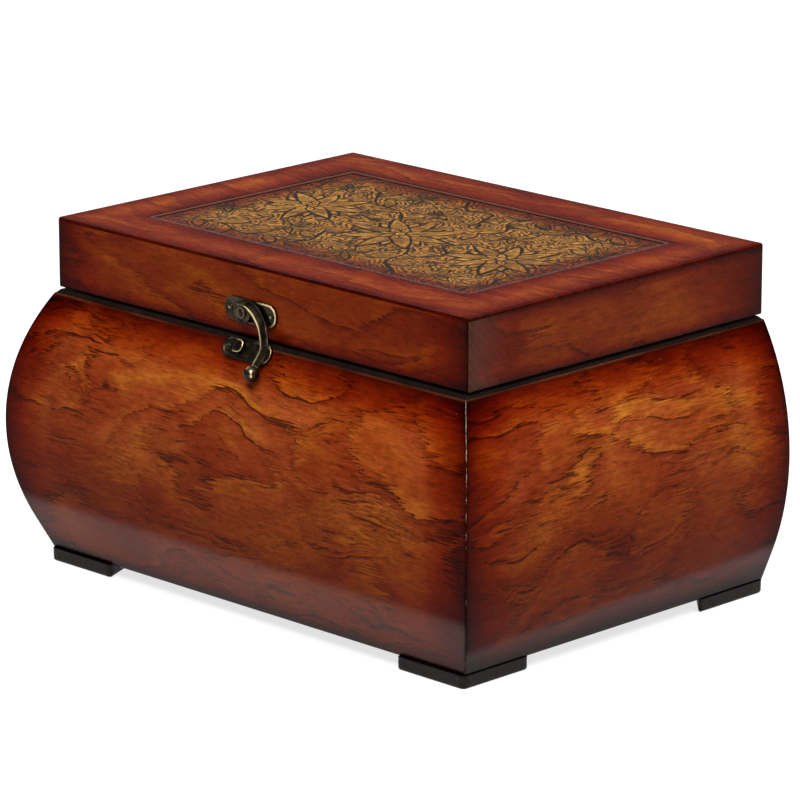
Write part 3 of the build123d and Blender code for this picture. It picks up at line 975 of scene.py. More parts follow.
@dataclass(frozen=True)
class TooledLeather:
    """Vegetable-tanned leather, tooled with flowers and wiped with dark antiquing paste.

    The paste stays in the tooled lines and is rubbed off the raised parts, which leaves them
    golden. Towards the edges of the panel the leather is stained red-brown.
    """

    name: str = "tooled_leather"

    def build(self) -> Material:
        """Makes the material.

        Returns:
            The material, which reads Object coordinates and the attributes "tooling" and "flow".
        """
        material, add, shader = new_material(self.name)
        place = add("TexCoord", output="Object")
        centred = add("Mapping", {"Vector": place, "Location": (0, -SIZES.lid_middle * MM, 0)})
        tooling = add("Attribute", output="Vector", attribute_name="tooling")
        outline, vein, ground = add("SeparateXYZ", [tooling]).node.outputs
        paste = self._paste(add, centred, outline, vein, ground)
        leather = self._leather(add, centred, ground)
        # pebbles of the hide's own grain, 0.7 mm across
        pebble = add("TexVoronoi", {"Vector": centred, "Scale": 1400.0, "Randomness": 1.0})
        cut = add("Math", [paste, -1.6, pebble], operation="MULTIPLY_ADD")
        fill_inputs(shader, {
            "Base Color": add("Mix", {0: paste, 6: leather, 7: colour("#120c07")}, **MIXED),
            "Roughness": add("MapRange", [pebble, 0.0, 0.8, 0.5, 0.65]),
            "Normal": add("Bump", {"Strength": 0.7, "Distance": 0.00009, "Height": cut}),
            "Specular IOR Level": 0.12,
        })
        return material

    def _paste(
        self, add: NodeAdder, place: Socket, outline: Socket, vein: Socket, ground: Socket
    ) -> Socket:
        """Finds where the dark paste stays.

        Args:
            add: Adds a node.
            place: Place on the panel in metres.
            outline: Millimetres to an outline.
            vein: Millimetres to a vein.
            ground: Share of the surface that is ground.

        Returns:
            Share of paste from 0 to 1.
        """
        # the knife's pressure varies along a line, and a vein is half as wide as an outline
        press = add("TexNoise", {"Vector": place, "Scale": 130.0, "Detail": 3.0})
        width = add("MapRange", [press, 0.3, 0.7, 0.34, 0.8])
        thin = add("Math", [width, 0.5], operation="MULTIPLY")
        lines = []
        for away, half, strength in ((outline, width, 0.97), (vein, thin, 0.9)):
            past = add("Math", [away, half], operation="SUBTRACT")
            lines.append(add("MapRange", [past, -0.12, 0.12, strength, 0.0]))
        line = add("Math", lines, operation="MAXIMUM")
        # strokes that echo the outlines every 2.2 mm and wander over 6 mm
        wander = add("TexNoise", {"Vector": place, "Scale": 165.0, "Detail": 2.5, "Roughness": 0.6})
        echo = add("Math", [wander, 5.5, outline], operation="MULTIPLY_ADD")
        echo = add("Math", [echo, math.tau / 2.2], operation="MULTIPLY")
        wave = add("Math", [echo], operation="SINE")
        broken = add("TexNoise", {"Vector": place, "Scale": 420.0, "Detail": 1.0})
        lifted = add("Math", [broken, 1.5, wave], operation="MULTIPLY_ADD")
        hatch = add("MapRange", [lifted, 0.9, 1.15, 0.0, 0.92])
        # feathery strokes 0.9 mm wide and 8 mm long that fan out from the nearest flower
        flow = add("Attribute", output="Vector", attribute_name="flow")
        flow = add("Mapping", {"Vector": flow, "Scale": (0.6, 0.13, 1.0)})
        feather = add("TexNoise", {
            "Vector": flow, "Scale": 1.0, "Detail": 2.5, "Roughness": 0.62, "Distortion": 0.5
        })
        stroke = add("MapRange", [feather, 0.52, 0.56, 0.0, 0.86])
        # both are half as strong on the raised forms as on the ground
        depth = add("MapRange", [ground, 0.0, 1.0, 0.5])
        for strokes in (hatch, stroke):
            faded = add("Math", [strokes, depth], operation="MULTIPLY")
            line = add("Math", [line, faded], operation="MAXIMUM")
        return line

    def _leather(self, add: NodeAdder, place: Socket, ground: Socket) -> Socket:
        """Colours the leather itself.

        Args:
            add: Adds a node.
            place: Place on the panel in metres.
            ground: Share of the surface that is ground.

        Returns:
            Colour of the leather without paste.
        """
        # clouds of dye 15 mm across
        cloud = add("TexNoise", {"Vector": place, "Scale": 70.0, "Detail": 5.0, "Roughness": 0.6})
        gold = add(
            "ValToRGB", [cloud], stops=[(0.3, "#764818"), (0.5, "#8f6227"), (0.72, "#a77532")]
        )
        lowered = add("Math", [ground, 0.4], operation="MULTIPLY")
        gold = add("Mix", {0: lowered, 6: gold, 7: colour("#86561f")}, **MIXED)
        # the red stain reaches some 12 mm in from the panel's edge
        corner = (SIZES.panel_width / 2 * MM, SIZES.panel_depth / 2 * MM, 0)
        folded = add("VectorMath", [place], operation="ABSOLUTE")
        inwards = add("VectorMath", [corner, folded], operation="SUBTRACT")
        x, y, _ = add("SeparateXYZ", [inwards]).node.outputs
        nearest = add("Math", [x, y, 0.006], operation="SMOOTH_MIN")
        drift = add("Math", [cloud, 0.016, nearest], operation="MULTIPLY_ADD")
        stain = add(
            "ValToRGB", [add("MapRange", [drift, 0.005, 0.0235])],
            stops=[(0.0, "#a84a2e"), (0.4, "#bc6c40"), (0.8, "#e8c8a0"), (1.0, "#ffffff")],
        )
        return add("Mix", {0: 1.0, 6: gold, 7: stain}, **MULTIPLIED)


@dataclass(frozen=True)
class AntiqueBronze:
    """Cast brass chemically darkened to an antique bronze, rubbed bright on its ridges, with
    painted highlights.

    The patina is nearly black and pitted; where fingers rub it off, the pale metal shows, and the
    same pale colour is painted as highlights on rims, ridge and ball.
    """

    name: str = "antique_bronze"

    def build(self) -> Material:
        """Makes the material.

        Returns:
            The material, which reads Object coordinates and the attribute "wear".
        """
        material, add, shader = new_material(self.name)
        place = add("TexCoord", output="Object")
        # pits 0.5 mm across in a patina that varies over 3 mm
        pits = add("TexNoise", {"Vector": place, "Scale": 1900.0, "Detail": 4.0, "Roughness": 0.7})
        patina = add("TexNoise", {"Vector": place, "Scale": 330.0, "Detail": 3.0})
        dark = add(
            "ValToRGB", [patina], stops=[(0.3, "#1a1612"), (0.55, "#332b22"), (0.75, "#50442f")]
        )
        wear = add("Attribute", output="Fac", attribute_name="wear")
        # bare metal where worn, and painted highlights, both in the pale colour
        bare_and_highlight = add("Math", [pits, 0.5, wear], operation="MULTIPLY_ADD")
        bare_and_highlight = add("MapRange", [bare_and_highlight, 0.55, 1.05])
        fill_inputs(shader, {
            "Base Color": add("Mix", {0: bare_and_highlight, 6: dark, 7: colour("#d3bd8c")}, **MIXED),
            "Roughness": add("MapRange", [pits, 0.3, 0.7, 0.26, 0.46]),
            "Normal": add("Bump", {"Strength": 0.5, "Distance": 0.00005, "Height": pits}),
            "Metallic": 1.0,
        })
        return material


@dataclass(frozen=True)
class Felt:
    """Pressed wool felt, black, with matted fibres and a soft sheen."""

    name: str = "black_felt"

    def build(self) -> Material:
        """Makes the material.

        Returns:
            The material, which reads Object coordinates.
        """
        material, add, shader = new_material(self.name)
        place = add("TexCoord", output="Object")
        # matted fibres drawn 0.6 mm thick; real ones are 0.05 mm
        fibre = add("TexNoise", {
            "Vector": place, "Scale": 1500.0, "Detail": 3.0, "Roughness": 0.8, "Distortion": 2.0
        })
        nap = add("TexNoise", {"Vector": place, "Scale": 60.0, "Detail": 3.0})
        nap = add("Math", [nap, 0.35, fibre], operation="MULTIPLY_ADD")
        fill_inputs(shader, {
            "Base Color": add("ValToRGB", [nap], stops=[(0.5, "#120f12"), (0.85, "#302b30")]),
            "Normal": add("Bump", {"Strength": 0.9, "Distance": 0.0003, "Height": fibre}),
            "Roughness": 0.95,
            "Sheen Weight": 0.06,
            "Sheen Roughness": 0.5,
            "Specular IOR Level": 0.1,
        })
        return material


@dataclass(frozen=True)
class FloorPaper:
    """White background paper, matt. It glows slightly towards the camera, so that it ends white."""

    name: str = "floor_paper"
    glow: float = 0.74

    def build(self) -> Material:
        """Makes the material.

        Returns:
            The material of the floor.
        """
        material, add, shader = new_material(self.name)
        # paper fibres in clumps of 1.4 mm
        fibre = add("TexNoise", {"Vector": add("TexCoord", output="Object"), "Scale": 700.0})
        fill_inputs(shader, {
            "Base Color": add("ValToRGB", [fibre], stops=[(0.3, "#9e9e9d"), (0.7, "#a2a2a1")]),
            "Emission Strength": add("Math", [seen_share(add), self.glow], operation="MULTIPLY"),
            "Emission Color": colour("#ffffff"),
            "Roughness": 0.9,
            "Specular IOR Level": 0.0,
        })
        return material


@dataclass
class FinishBook:
    """Every finish of the object, built once."""

    veneers: dict[str, Material] = field(default_factory=dict)
    board: Material | None = None
    foot: Material | None = None
    leather: Material | None = None
    bronze: Material | None = None
    felt: Material | None = None

    def build(self) -> None:
        """Builds the finishes."""
        run = SIZES.bow_run(SIZES.veneer_top)
        # a long arch over a plain field, islands below it on the right, and pale clouds round it
        front = (
            GrainForm(-10, 56, 74, 36, rise=-0.3), GrainForm(74, 54, 38, 19, rise=0.36, yellow=0.9),
            GrainForm(84, 53, 20, 10, rise=0.22), GrainForm(43, 37, 16, 13, rise=0.34, yellow=0.9),
            GrainForm(-68, 104, 44, 12, rise=0.12, yellow=0.6),
            GrainForm(66, 100, 42, 11, yellow=0.7),
            GrainForm(92, 84, 16, 16, yellow=0.6), GrainForm(-76, 40, 24, 15, rise=0.3, yellow=0.8),
            GrainForm(-98, 72, 20, 18, rise=-0.25), GrainForm(60, 12, 60, 8, rise=0.2),
        )
        # loops and short islands that climb to the right
        right = (
            GrainForm(8, 92, 15, 10, rise=0.26, yellow=1.4), GrainForm(-31, 84, 26, 12, yellow=1.5),
            GrainForm(50, 90, 28, 11, yellow=1.3), GrainForm(48, 66, 18, 9, rise=0.26, yellow=1.4),
            GrainForm(70, 62, 16, 16, rise=0.26, yellow=1.3),
            GrainForm(-58, 63, 16, 12, rise=0.26, yellow=1.1),
            GrainForm(-76, 48, 30, 12, rise=0.24, yellow=0.8),
            GrainForm(-26, 58, 16, 12, rise=-0.19),
            GrainForm(6, 34, 30, 10, rise=-0.18), GrainForm(10, 52, 20, 13, rise=0.05),
        )
        wall = partial(LacqueredVeneer, height=run, black_shaded_toe=True)
        lid = partial(
            LacqueredVeneer, height=SIZES.sheet_bottom - SIZES.lid_bottom, rings=8.0,
            stretch=(6.0, 30.0), ends=15.0, low=3.0,
        )
        recipes = {
            "front": wall(
                "veneer_front", rings=8.0, forms=front, lines=1.04, shift=0.31, ends=12.0, low=4.5,
                high=9.0, glossy_below=(24.0, 26.0),
            ),
            "right": wall(
                "veneer_right", rings=9.0, forms=right, shift=1.27, ends=13.0, low=10.0, high=9.0,
                glossy_below=(10.0, 18.0), gloss=0.1,
            ),
            "left": wall("veneer_left", forms=right, shift=2.05, glossy_below=(24.0, 24.0)),
            "back": wall("veneer_back", forms=front, shift=3.4),
            "lid_side": lid("veneer_lid_side", lines=0.5, high=0.0, tone="#d6b27c", chips=0.02),
            "lid_right": lid(
                "veneer_lid_right", lines=0.7, high=2.0, tone="#c9a472", shift=0.6, chips=0.2,
                scuffed=-87.0,
            ),
            # its low edge is the window's, so its high edge is nowhere near
            "lid_top": LacqueredVeneer(
                "veneer_lid_top", 1000.0, rings=8.0, stretch=(7.0, 34.0), lines=0.35, ends=6.0,
                high=0.0, tone="#ccb998", shift=0.9, window_edge=True, burnt=-0.1, chips=-0.1,
            ),
        }
        self.veneers = {name: recipe.build() for name, recipe in recipes.items()}
        self.board = PaintedBoard().build()
        self.foot = FootPaint().build()
        self.leather = TooledLeather().build()
        self.bronze = AntiqueBronze().build()
        self.felt = Felt().build()


# Sub-assemblies


def rounded_span(
    share: float, edge: float, span: tuple[float, float], rounds: tuple[float, float],
    turns: tuple[float, float],
) -> tuple[float, float]:
    """Runs from one end of a face to the other, and round its rounded ends.

    Args:
        share: From 0 at the first end to 1 at the second.
        edge: Share of the way that a rounded end takes.
        span: Places of the two ends.
        rounds: Radius of each end.
        turns: How far round each end the way starts, in degrees; 0 leaves it sharp.

    Returns:
        The place, and how far the face turns in there.
    """
    for way, end, radius, turned, sign in zip((share, 1 - share), span, rounds, turns, (1, -1)):
        if way < edge and turned:
            turn = math.radians(turned * (1 - way / edge))
            return end + sign * radius * (1 - math.sin(turn)), radius * (1 - math.cos(turn))
    low = edge if turns[0] else 0.0
    high = 1 - edge if turns[1] else 1.0
    start = span[0] + (rounds[0] if turns[0] else 0.0)
    stop = span[1] - (rounds[1] if turns[1] else 0.0)
    return start + (share - low) / (high - low) * (stop - start), 0.0


@dataclass
class VeneerSkin:
    """One sheet of veneer on a side of the body or lid, with rounded ends."""

    name: str
    side: Side
    body: Body
    material: Material
    low: float
    high: float
    bowed: bool
    end_round: float
    low_round: float
    high_round: float
    columns: int = 96
    rows: int = 56
    end_share: float = 0.06
    edge_share: float = 0.07
    glue: float = 0.1

    @property
    def _lengthwise(self) -> bool:
        """Whether the sheet runs along the box's length."""
        return self.side in (Side.FRONT, Side.BACK)

    def _turns(self) -> tuple[float, float]:
        """Finds how far each end turns round its corner: half way to a mitre, or all the way.

        Returns:
            Degrees at the left end and at the right one.
        """
        if self.body is Body.LID or self.side is Side.FRONT:
            return 45.0, 45.0
        return {Side.RIGHT: (45.0, 90.0), Side.LEFT: (90.0, 45.0)}.get(self.side, (0.0, 0.0))

    def _turn(self) -> Matrix:
        """Turn of the sheet's wall about the upright axis."""
        return Matrix.Rotation(math.radians(self.side.value), 3, "Z")

    def _out(self, z: float) -> float:
        """How far the sheet's face stands out at a height."""
        return SIZES.bow_out(z) if self.bowed else 0.0

    def _ends(self, z: float) -> tuple[float, float]:
        """Where the sheet's two ends are along the wall at a height.

        Args:
            z: Height above the table.

        Returns:
            Lower and upper end, seen from outside from left to right.
        """
        if self.body is Body.LID:
            half = (SIZES.lid_width if self._lengthwise else SIZES.lid_depth) / 2
            return -half, half
        half = SIZES.side + SIZES.bow_out(z)
        front = SIZES.lid_middle - SIZES.front + SIZES.bow_out(z)
        back = SIZES.back - SIZES.lid_middle
        return {
            Side.FRONT: (-half, half),
            Side.RIGHT: (-front, back),
            Side.LEFT: (-back, front),
            Side.BACK: (SIZES.veneer - half, half - SIZES.veneer),
        }[self.side]

    def _face(self) -> float:
        """Measures how far the sheet's face is from the lid's middle.

        Returns:
            Millimetres, without the bow.
        """
        if self.body is Body.LID:
            return (SIZES.lid_depth if self._lengthwise else SIZES.lid_width) / 2
        return {
            Side.FRONT: SIZES.lid_middle - SIZES.front,
            Side.BACK: SIZES.back - SIZES.lid_middle,
            Side.RIGHT: SIZES.side,
            Side.LEFT: SIZES.side,
        }[self.side]

    def _place(self, across: float, up: float) -> Vector:
        """Point of the sheet's face.

        Args:
            across: Share from the left end to the right end.
            up: Share from the low edge to the high edge.

        Returns:
            The point in millimetres.
        """
        rounds = (self.low_round, self.high_round)
        span = (self.low, self.high)
        z, turned_up = rounded_span(up, self.edge_share, span, rounds, (90.0, 90.0))
        rounds = (self.end_round, self.end_round)
        span, turns = self._ends(z), self._turns()
        along, turned_end = rounded_span(across, self.end_share, span, rounds, turns)
        out = self._face() + self._out(z) - turned_up - turned_end
        return self._turn() @ Vector((along, -out, z)) + Vector((0, SIZES.lid_middle, 0))

    def _local(self, point: Vector) -> tuple[float, float]:
        """Place along the wall and height of a point on it."""
        turned = self._turn().transposed() @ (point - Vector((0, SIZES.lid_middle, 0)))
        return turned.x, turned.z

    def _grain(self, point: Vector) -> tuple[float, float]:
        """Lays a point out on the flat sheet.

        Args:
            point: Point of the sheet.

        Returns:
            Metres along the wall, and up it along the bow.
        """
        along, z = self._local(point)
        run = SIZES.bow_run(z) if self.bowed or self.body is Body.BOX else z - self.low
        return along * MM, run * MM

    def _border(self, point: Vector) -> tuple[float, float]:
        """Measures how far a point is from the sheet's edges.

        Args:
            point: Point of the sheet.

        Returns:
            Metres to the nearest end and to the low edge.
        """
        along, z = self._local(point)
        start, end = self._ends(z)
        return min(along - start, end - along) * MM, self._grain(point)[1]

    def build(self) -> None:
        """Builds the sheet and gives it its thickness."""
        bm = mapped_grid(self.columns, self.rows, self._place)
        thicken(bm, self._turn() @ Vector((0, -1, 0)), SIZES.veneer - self.glue)
        Piece(
            f"{self.name}_sheet", bm, self.body, Slot.VENEER, self.material, (self.name,),
            {"grain": self._grain, "border": self._border}, 55.0,
        ).finish()


@dataclass
class LidTopSheet:
    """Veneer sheet on the lid, rounded outside, with a bevelled window for the leather."""

    finish: Material
    cell: float = 2.0
    window_bevel: float = 0.35

    def _past_window(self, point: Vector) -> float:
        """Millimetres from the window's edge, below 0 inside it."""
        x, y = abs(point.x), abs(point.y - SIZES.lid_middle)
        return max(x - SIZES.panel_width / 2, y - SIZES.panel_depth / 2)

    def _border(self, point: Vector) -> tuple[float, float]:
        """Measures how far a point is from the sheet's edges.

        Args:
            point: Point of the sheet.

        Returns:
            Metres to the outer edge, and to the window, below 0 in its cut.
        """
        x, y = abs(point.x), abs(point.y - SIZES.lid_middle)
        outer = min(SIZES.lid_width / 2 - x, SIZES.lid_depth / 2 - y)
        window = self._past_window(point)
        cut = point.z < SIZES.height - self.window_bevel - SLACK
        return outer * MM, -MM if cut and window < 1 else max(window, 0.0) * MM

    def build(self) -> None:
        """Builds the sheet from a grid with its middle taken out."""
        bm = bmesh.new()
        width, depth = SIZES.lid_width, SIZES.lid_depth
        bmesh.ops.create_grid(
            bm, x_segments=round(width / self.cell), y_segments=round(depth / self.cell), size=0.5
        )
        bmesh.ops.scale(bm, vec=(width, depth, 1), verts=bm.verts[:])
        bmesh.ops.translate(bm, vec=(0, SIZES.lid_middle, SIZES.sheet_bottom), verts=bm.verts[:])
        inside = [f for f in bm.faces if self._past_window(f.calc_center_median()) < 0]
        bmesh.ops.delete(bm, geom=inside, context="FACES")
        raise_slab(bm, SIZES.top_sheet)
        outer, window = self._edges(bm)
        round_edges(bm, outer, SIZES.lid_round, 4)
        round_edges(bm, [e for e in window if e.is_valid], self.window_bevel, 2)
        Piece(
            "lid_top_sheet", bm, Body.LID, Slot.VENEER, self.finish, ("lid_top_veneer",),
            {"grain": lambda p: (p.x * MM, p.y * MM), "border": self._border}, 50.0,
        ).finish()

    def _edges(
        self, bm: BMesh
    ) -> tuple[list[BMEdge], list[BMEdge]]:
        """Finds the edges to round.

        Args:
            bm: Sheet as a plain slab.

        Returns:
            Top and upright outer edges, and top edges of the window.
        """
        outer, window = [], []
        for edge in bm.edges:
            middle = (edge.verts[0].co + edge.verts[1].co) / 2
            if edge.calc_face_angle(0.0) < 1.0:
                continue
            on_top = middle.z > SIZES.height - SLACK
            upright = abs(edge.verts[0].co.z - edge.verts[1].co.z) > 0.5
            if self._border(middle)[0] < SLACK * MM and (on_top or upright):
                outer.append(edge)
            elif on_top:
                window.append(edge)
        return outer, window


class Motif(Enum):
    """Kinds of form in the tooled design."""

    PETAL = "petal"
    LEAF = "leaf"
    BUD = "bud"


@dataclass
class ToolingField:
    """Distances and heights of the tooled design on a regular net over the panel.

    Later forms cover earlier ones, as petals overlap.
    """

    width: float
    depth: float
    columns: int
    rows: int
    reach: float = 12.0
    path_steps: int = 14

    def __post_init__(self) -> None:
        """Makes the net's arrays."""
        xs = np.linspace(-self.width / 2, self.width / 2, self.columns + 1)
        ys = np.linspace(-self.depth / 2, self.depth / 2, self.rows + 1)
        self.x, self.y = np.meshgrid(xs, ys)
        self.outline = np.full(self.x.shape, self.reach)
        self.vein = np.full(self.x.shape, self.reach)
        self.ground = np.ones(self.x.shape)
        self.height = np.zeros(self.x.shape)
        self.nearest = np.full(self.x.shape, 999.0)
        self.fan = np.zeros((*self.x.shape, 3))

    def _cover(
        self, away: np.ndarray, inside: np.ndarray, height: np.ndarray | float,
        veins: np.ndarray | None = None,
    ) -> None:
        """Lays a form over what is under it.

        Args:
            away: Millimetres to its outline.
            inside: Where it covers the panel.
            height: Its height share.
            veins: Millimetres to its veins.
        """
        away = np.abs(away)
        self.outline = np.where(inside, away, np.minimum(self.outline, away))
        self.vein = np.where(inside, self.reach if veins is None else veins, self.vein)
        self.ground = np.where(inside, 0.0, self.ground)
        self.height = np.where(inside, height, self.height)

    def blade(
        self, middle: Sequence[float], angle: float, length: float, width: float,
        kind: Motif, bend: float = 0.0,
    ) -> None:
        """Draws one petal, leaf or bud: a pointed form with an outline and veins.

        Args:
            middle: Where the form starts.
            angle: Direction in degrees.
            length: Length in millimetres.
            width: Greatest width.
            kind: What is drawn, which sets its veins and its point.
            bend: Sideways sweep of its tip.
        """
        turn = math.radians(angle)
        dx, dy = self.x - middle[0], self.y - middle[1]
        along = (dx * math.cos(turn) + dy * math.sin(turn)) / length
        across = -dx * math.sin(turn) + dy * math.cos(turn)
        span = np.clip(along, 0.0, 1.0)
        across = across - bend * span**2
        # how slowly the form widens from its foot, and narrows to its tip
        foot, tip = {
            Motif.PETAL: (0.62, 0.95),
            Motif.LEAF: (0.9, 0.9),
            Motif.BUD: (0.6, 0.6),
        }[kind]
        half = width / 2 * span**foot * (1 - span) ** tip / 0.5 ** (foot + tip)
        past = np.where(along < 0, -along, np.where(along > 1, along - 1, 0.0)) * length
        side = np.abs(across) - half
        away = np.where(past > 0, np.hypot(past, np.maximum(side, 0)), side)
        slope = np.sqrt(1 + (width / length) ** 2)
        away = np.where(past > 0, away, away / slope)
        inside = (away < 0) & (past == 0)
        dome = np.clip(-away / (width / 2), 0, 1) ** 0.5
        veins = np.where((along > 0.1) & (along < 0.72), np.abs(across), self.reach)
        if kind is not Motif.BUD:
            petal = kind is Motif.PETAL
            for share in (-0.62, -0.3, 0.3, 0.62) if petal and length > 15 else (-0.48, 0.48):
                line = np.abs(across - share * half) / slope
                veined = (along > 0.16) & (along < (0.6 if petal else 0.7))
                veins = np.minimum(veins, np.where(veined, line, self.reach))
        # small forms have finer lines, so their distances count for more
        self._cover(away * min(max(14.0 / length, 0.8), 1.2), inside, dome, veins)

    def stem(self, points: Sequence[tuple[float, float]], width: float) -> None:
        """Draws a stem as two close outlines along a smooth line.

        Args:
            points: Points that the stem passes.
            width: Width of the stem.
        """
        line = smooth_path(points, self.path_steps)
        away = np.full(self.x.shape, 99.0)
        for first, second in zip(line, line[1:]):
            step = second - first
            dx, dy = self.x - first[0], self.y - first[1]
            share = np.clip((dx * step[0] + dy * step[1]) / float(step @ step), 0, 1)
            away = np.minimum(away, np.hypot(dx - share * step[0], dy - share * step[1]))
        away = away - width / 2
        self._cover(away, away < 0, 0.45)

    def flower(self, middle: tuple[float, float], radius: float, petals: int, turn: float) -> None:
        """Draws a flower: a ring of long petals, a ring of short ones and a round eye.

        Args:
            middle: Centre of the flower.
            radius: Length of its long petals.
            petals: Number of long petals.
            turn: Direction of the first petal in degrees.
        """
        step = 360 / petals
        dx, dy = self.x - middle[0], self.y - middle[1]
        away = np.hypot(dx, dy)
        nearer = away / radius < self.nearest
        self.nearest = np.where(nearer, away / radius, self.nearest)
        # strokes keep their spacing of about 2 mm as they fan out
        wide = radius * 2.0 ** np.round(np.log2(np.maximum(away, 2.0) / radius))
        fan = np.stack([np.arctan2(dy, dx) * wide, away, np.full(self.x.shape, middle[0])], axis=-1)
        self.fan = np.where(nearer[..., None], fan, self.fan)
        large = radius > 15
        for index in range(petals if large else 0):
            angle = turn + index * step
            self.blade(middle, angle + step / 2, radius * 0.8, radius * 0.24, Motif.LEAF)
        for index in range(petals):
            angle = turn + index * step
            length = radius * (1.0 + 0.08 * math.sin(2.3 * index))
            self.blade(middle, angle, length, radius * 0.3, Motif.PETAL, bend=radius * 0.08)
        for index in range(petals if large else 0):
            angle = turn + (index + 0.5) * step
            self.blade(middle, angle, radius * 0.36, radius * 0.16, Motif.BUD)
        away = away - radius * 0.1
        self._cover(away, away < 0, 0.9)

    def sprig(self, points: Sequence[tuple[float, float]], leaf: float, leaves: int) -> None:
        """Draws a stem with leaves on alternate sides.

        Args:
            points: Points that the stem passes.
            leaf: Length of a leaf.
            leaves: Number of leaves, without the one at the tip.
        """
        self.stem(points, 0.3)
        line = smooth_path(points, self.path_steps)
        for index in range(leaves):
            spot = int((index + 0.8) / (leaves + 0.4) * (len(line) - 1))
            spot = min(max(spot, 1), len(line) - 2)
            step = line[spot + 1] - line[spot - 1]
            heading = math.degrees(math.atan2(step[1], step[0]))
            lean = 48 if index % 2 else -48
            angle, width = heading + lean, leaf * 0.42
            self.blade(line[spot], angle, leaf, width, Motif.LEAF, bend=lean * 0.03)
        step = line[-1] - line[-3]
        heading = math.degrees(math.atan2(step[1], step[0]))
        self.blade(line[-1], heading, leaf * 0.9, leaf * 0.4, Motif.LEAF)

    def sample(self, x: float, y: float) -> tuple[float, float, float, float, Vector]:
        """Reads the net at a point of the panel.

        Args:
            x: Place across the panel, from its middle.
            y: Place up the panel, from its middle.

        Returns:
            Millimetres to an outline and to a vein, share of ground, height share, and place in the
            fan of strokes round the nearest flower.
        """
        column = min(max(round((x / self.width + 0.5) * self.columns), 0), self.columns)
        row = min(max(round((y / self.depth + 0.5) * self.rows), 0), self.rows)
        nets = (self.outline, self.vein, self.ground, self.height)
        return *(float(net[row, column]) for net in nets), Vector(self.fan[row, column])


def smooth_path(points: Sequence[Sequence[float]], steps: int) -> np.ndarray:
    """Runs a smooth line through points.

    Args:
        points: Points of two numbers or more.
        steps: Steps between two points.

    Returns:
        Points of the line, one row each.
    """
    given = np.array(points, dtype=float)
    padded = np.vstack([2 * given[0] - given[1], given, 2 * given[-1] - given[-2]])
    line = []
    for index in range(len(given) - 1):
        p0, p1, p2, p3 = padded[index : index + 4]
        for step in range(steps):
            t = step / steps
            line.append(
                0.5 * (2 * p1 + (p2 - p0) * t + (2 * p0 - 5 * p1 + 4 * p2 - p3) * t**2
                       + (3 * p1 - p0 - 3 * p2 + p3) * t**3)
            )
    line.append(given[-1])
    return np.array(line)


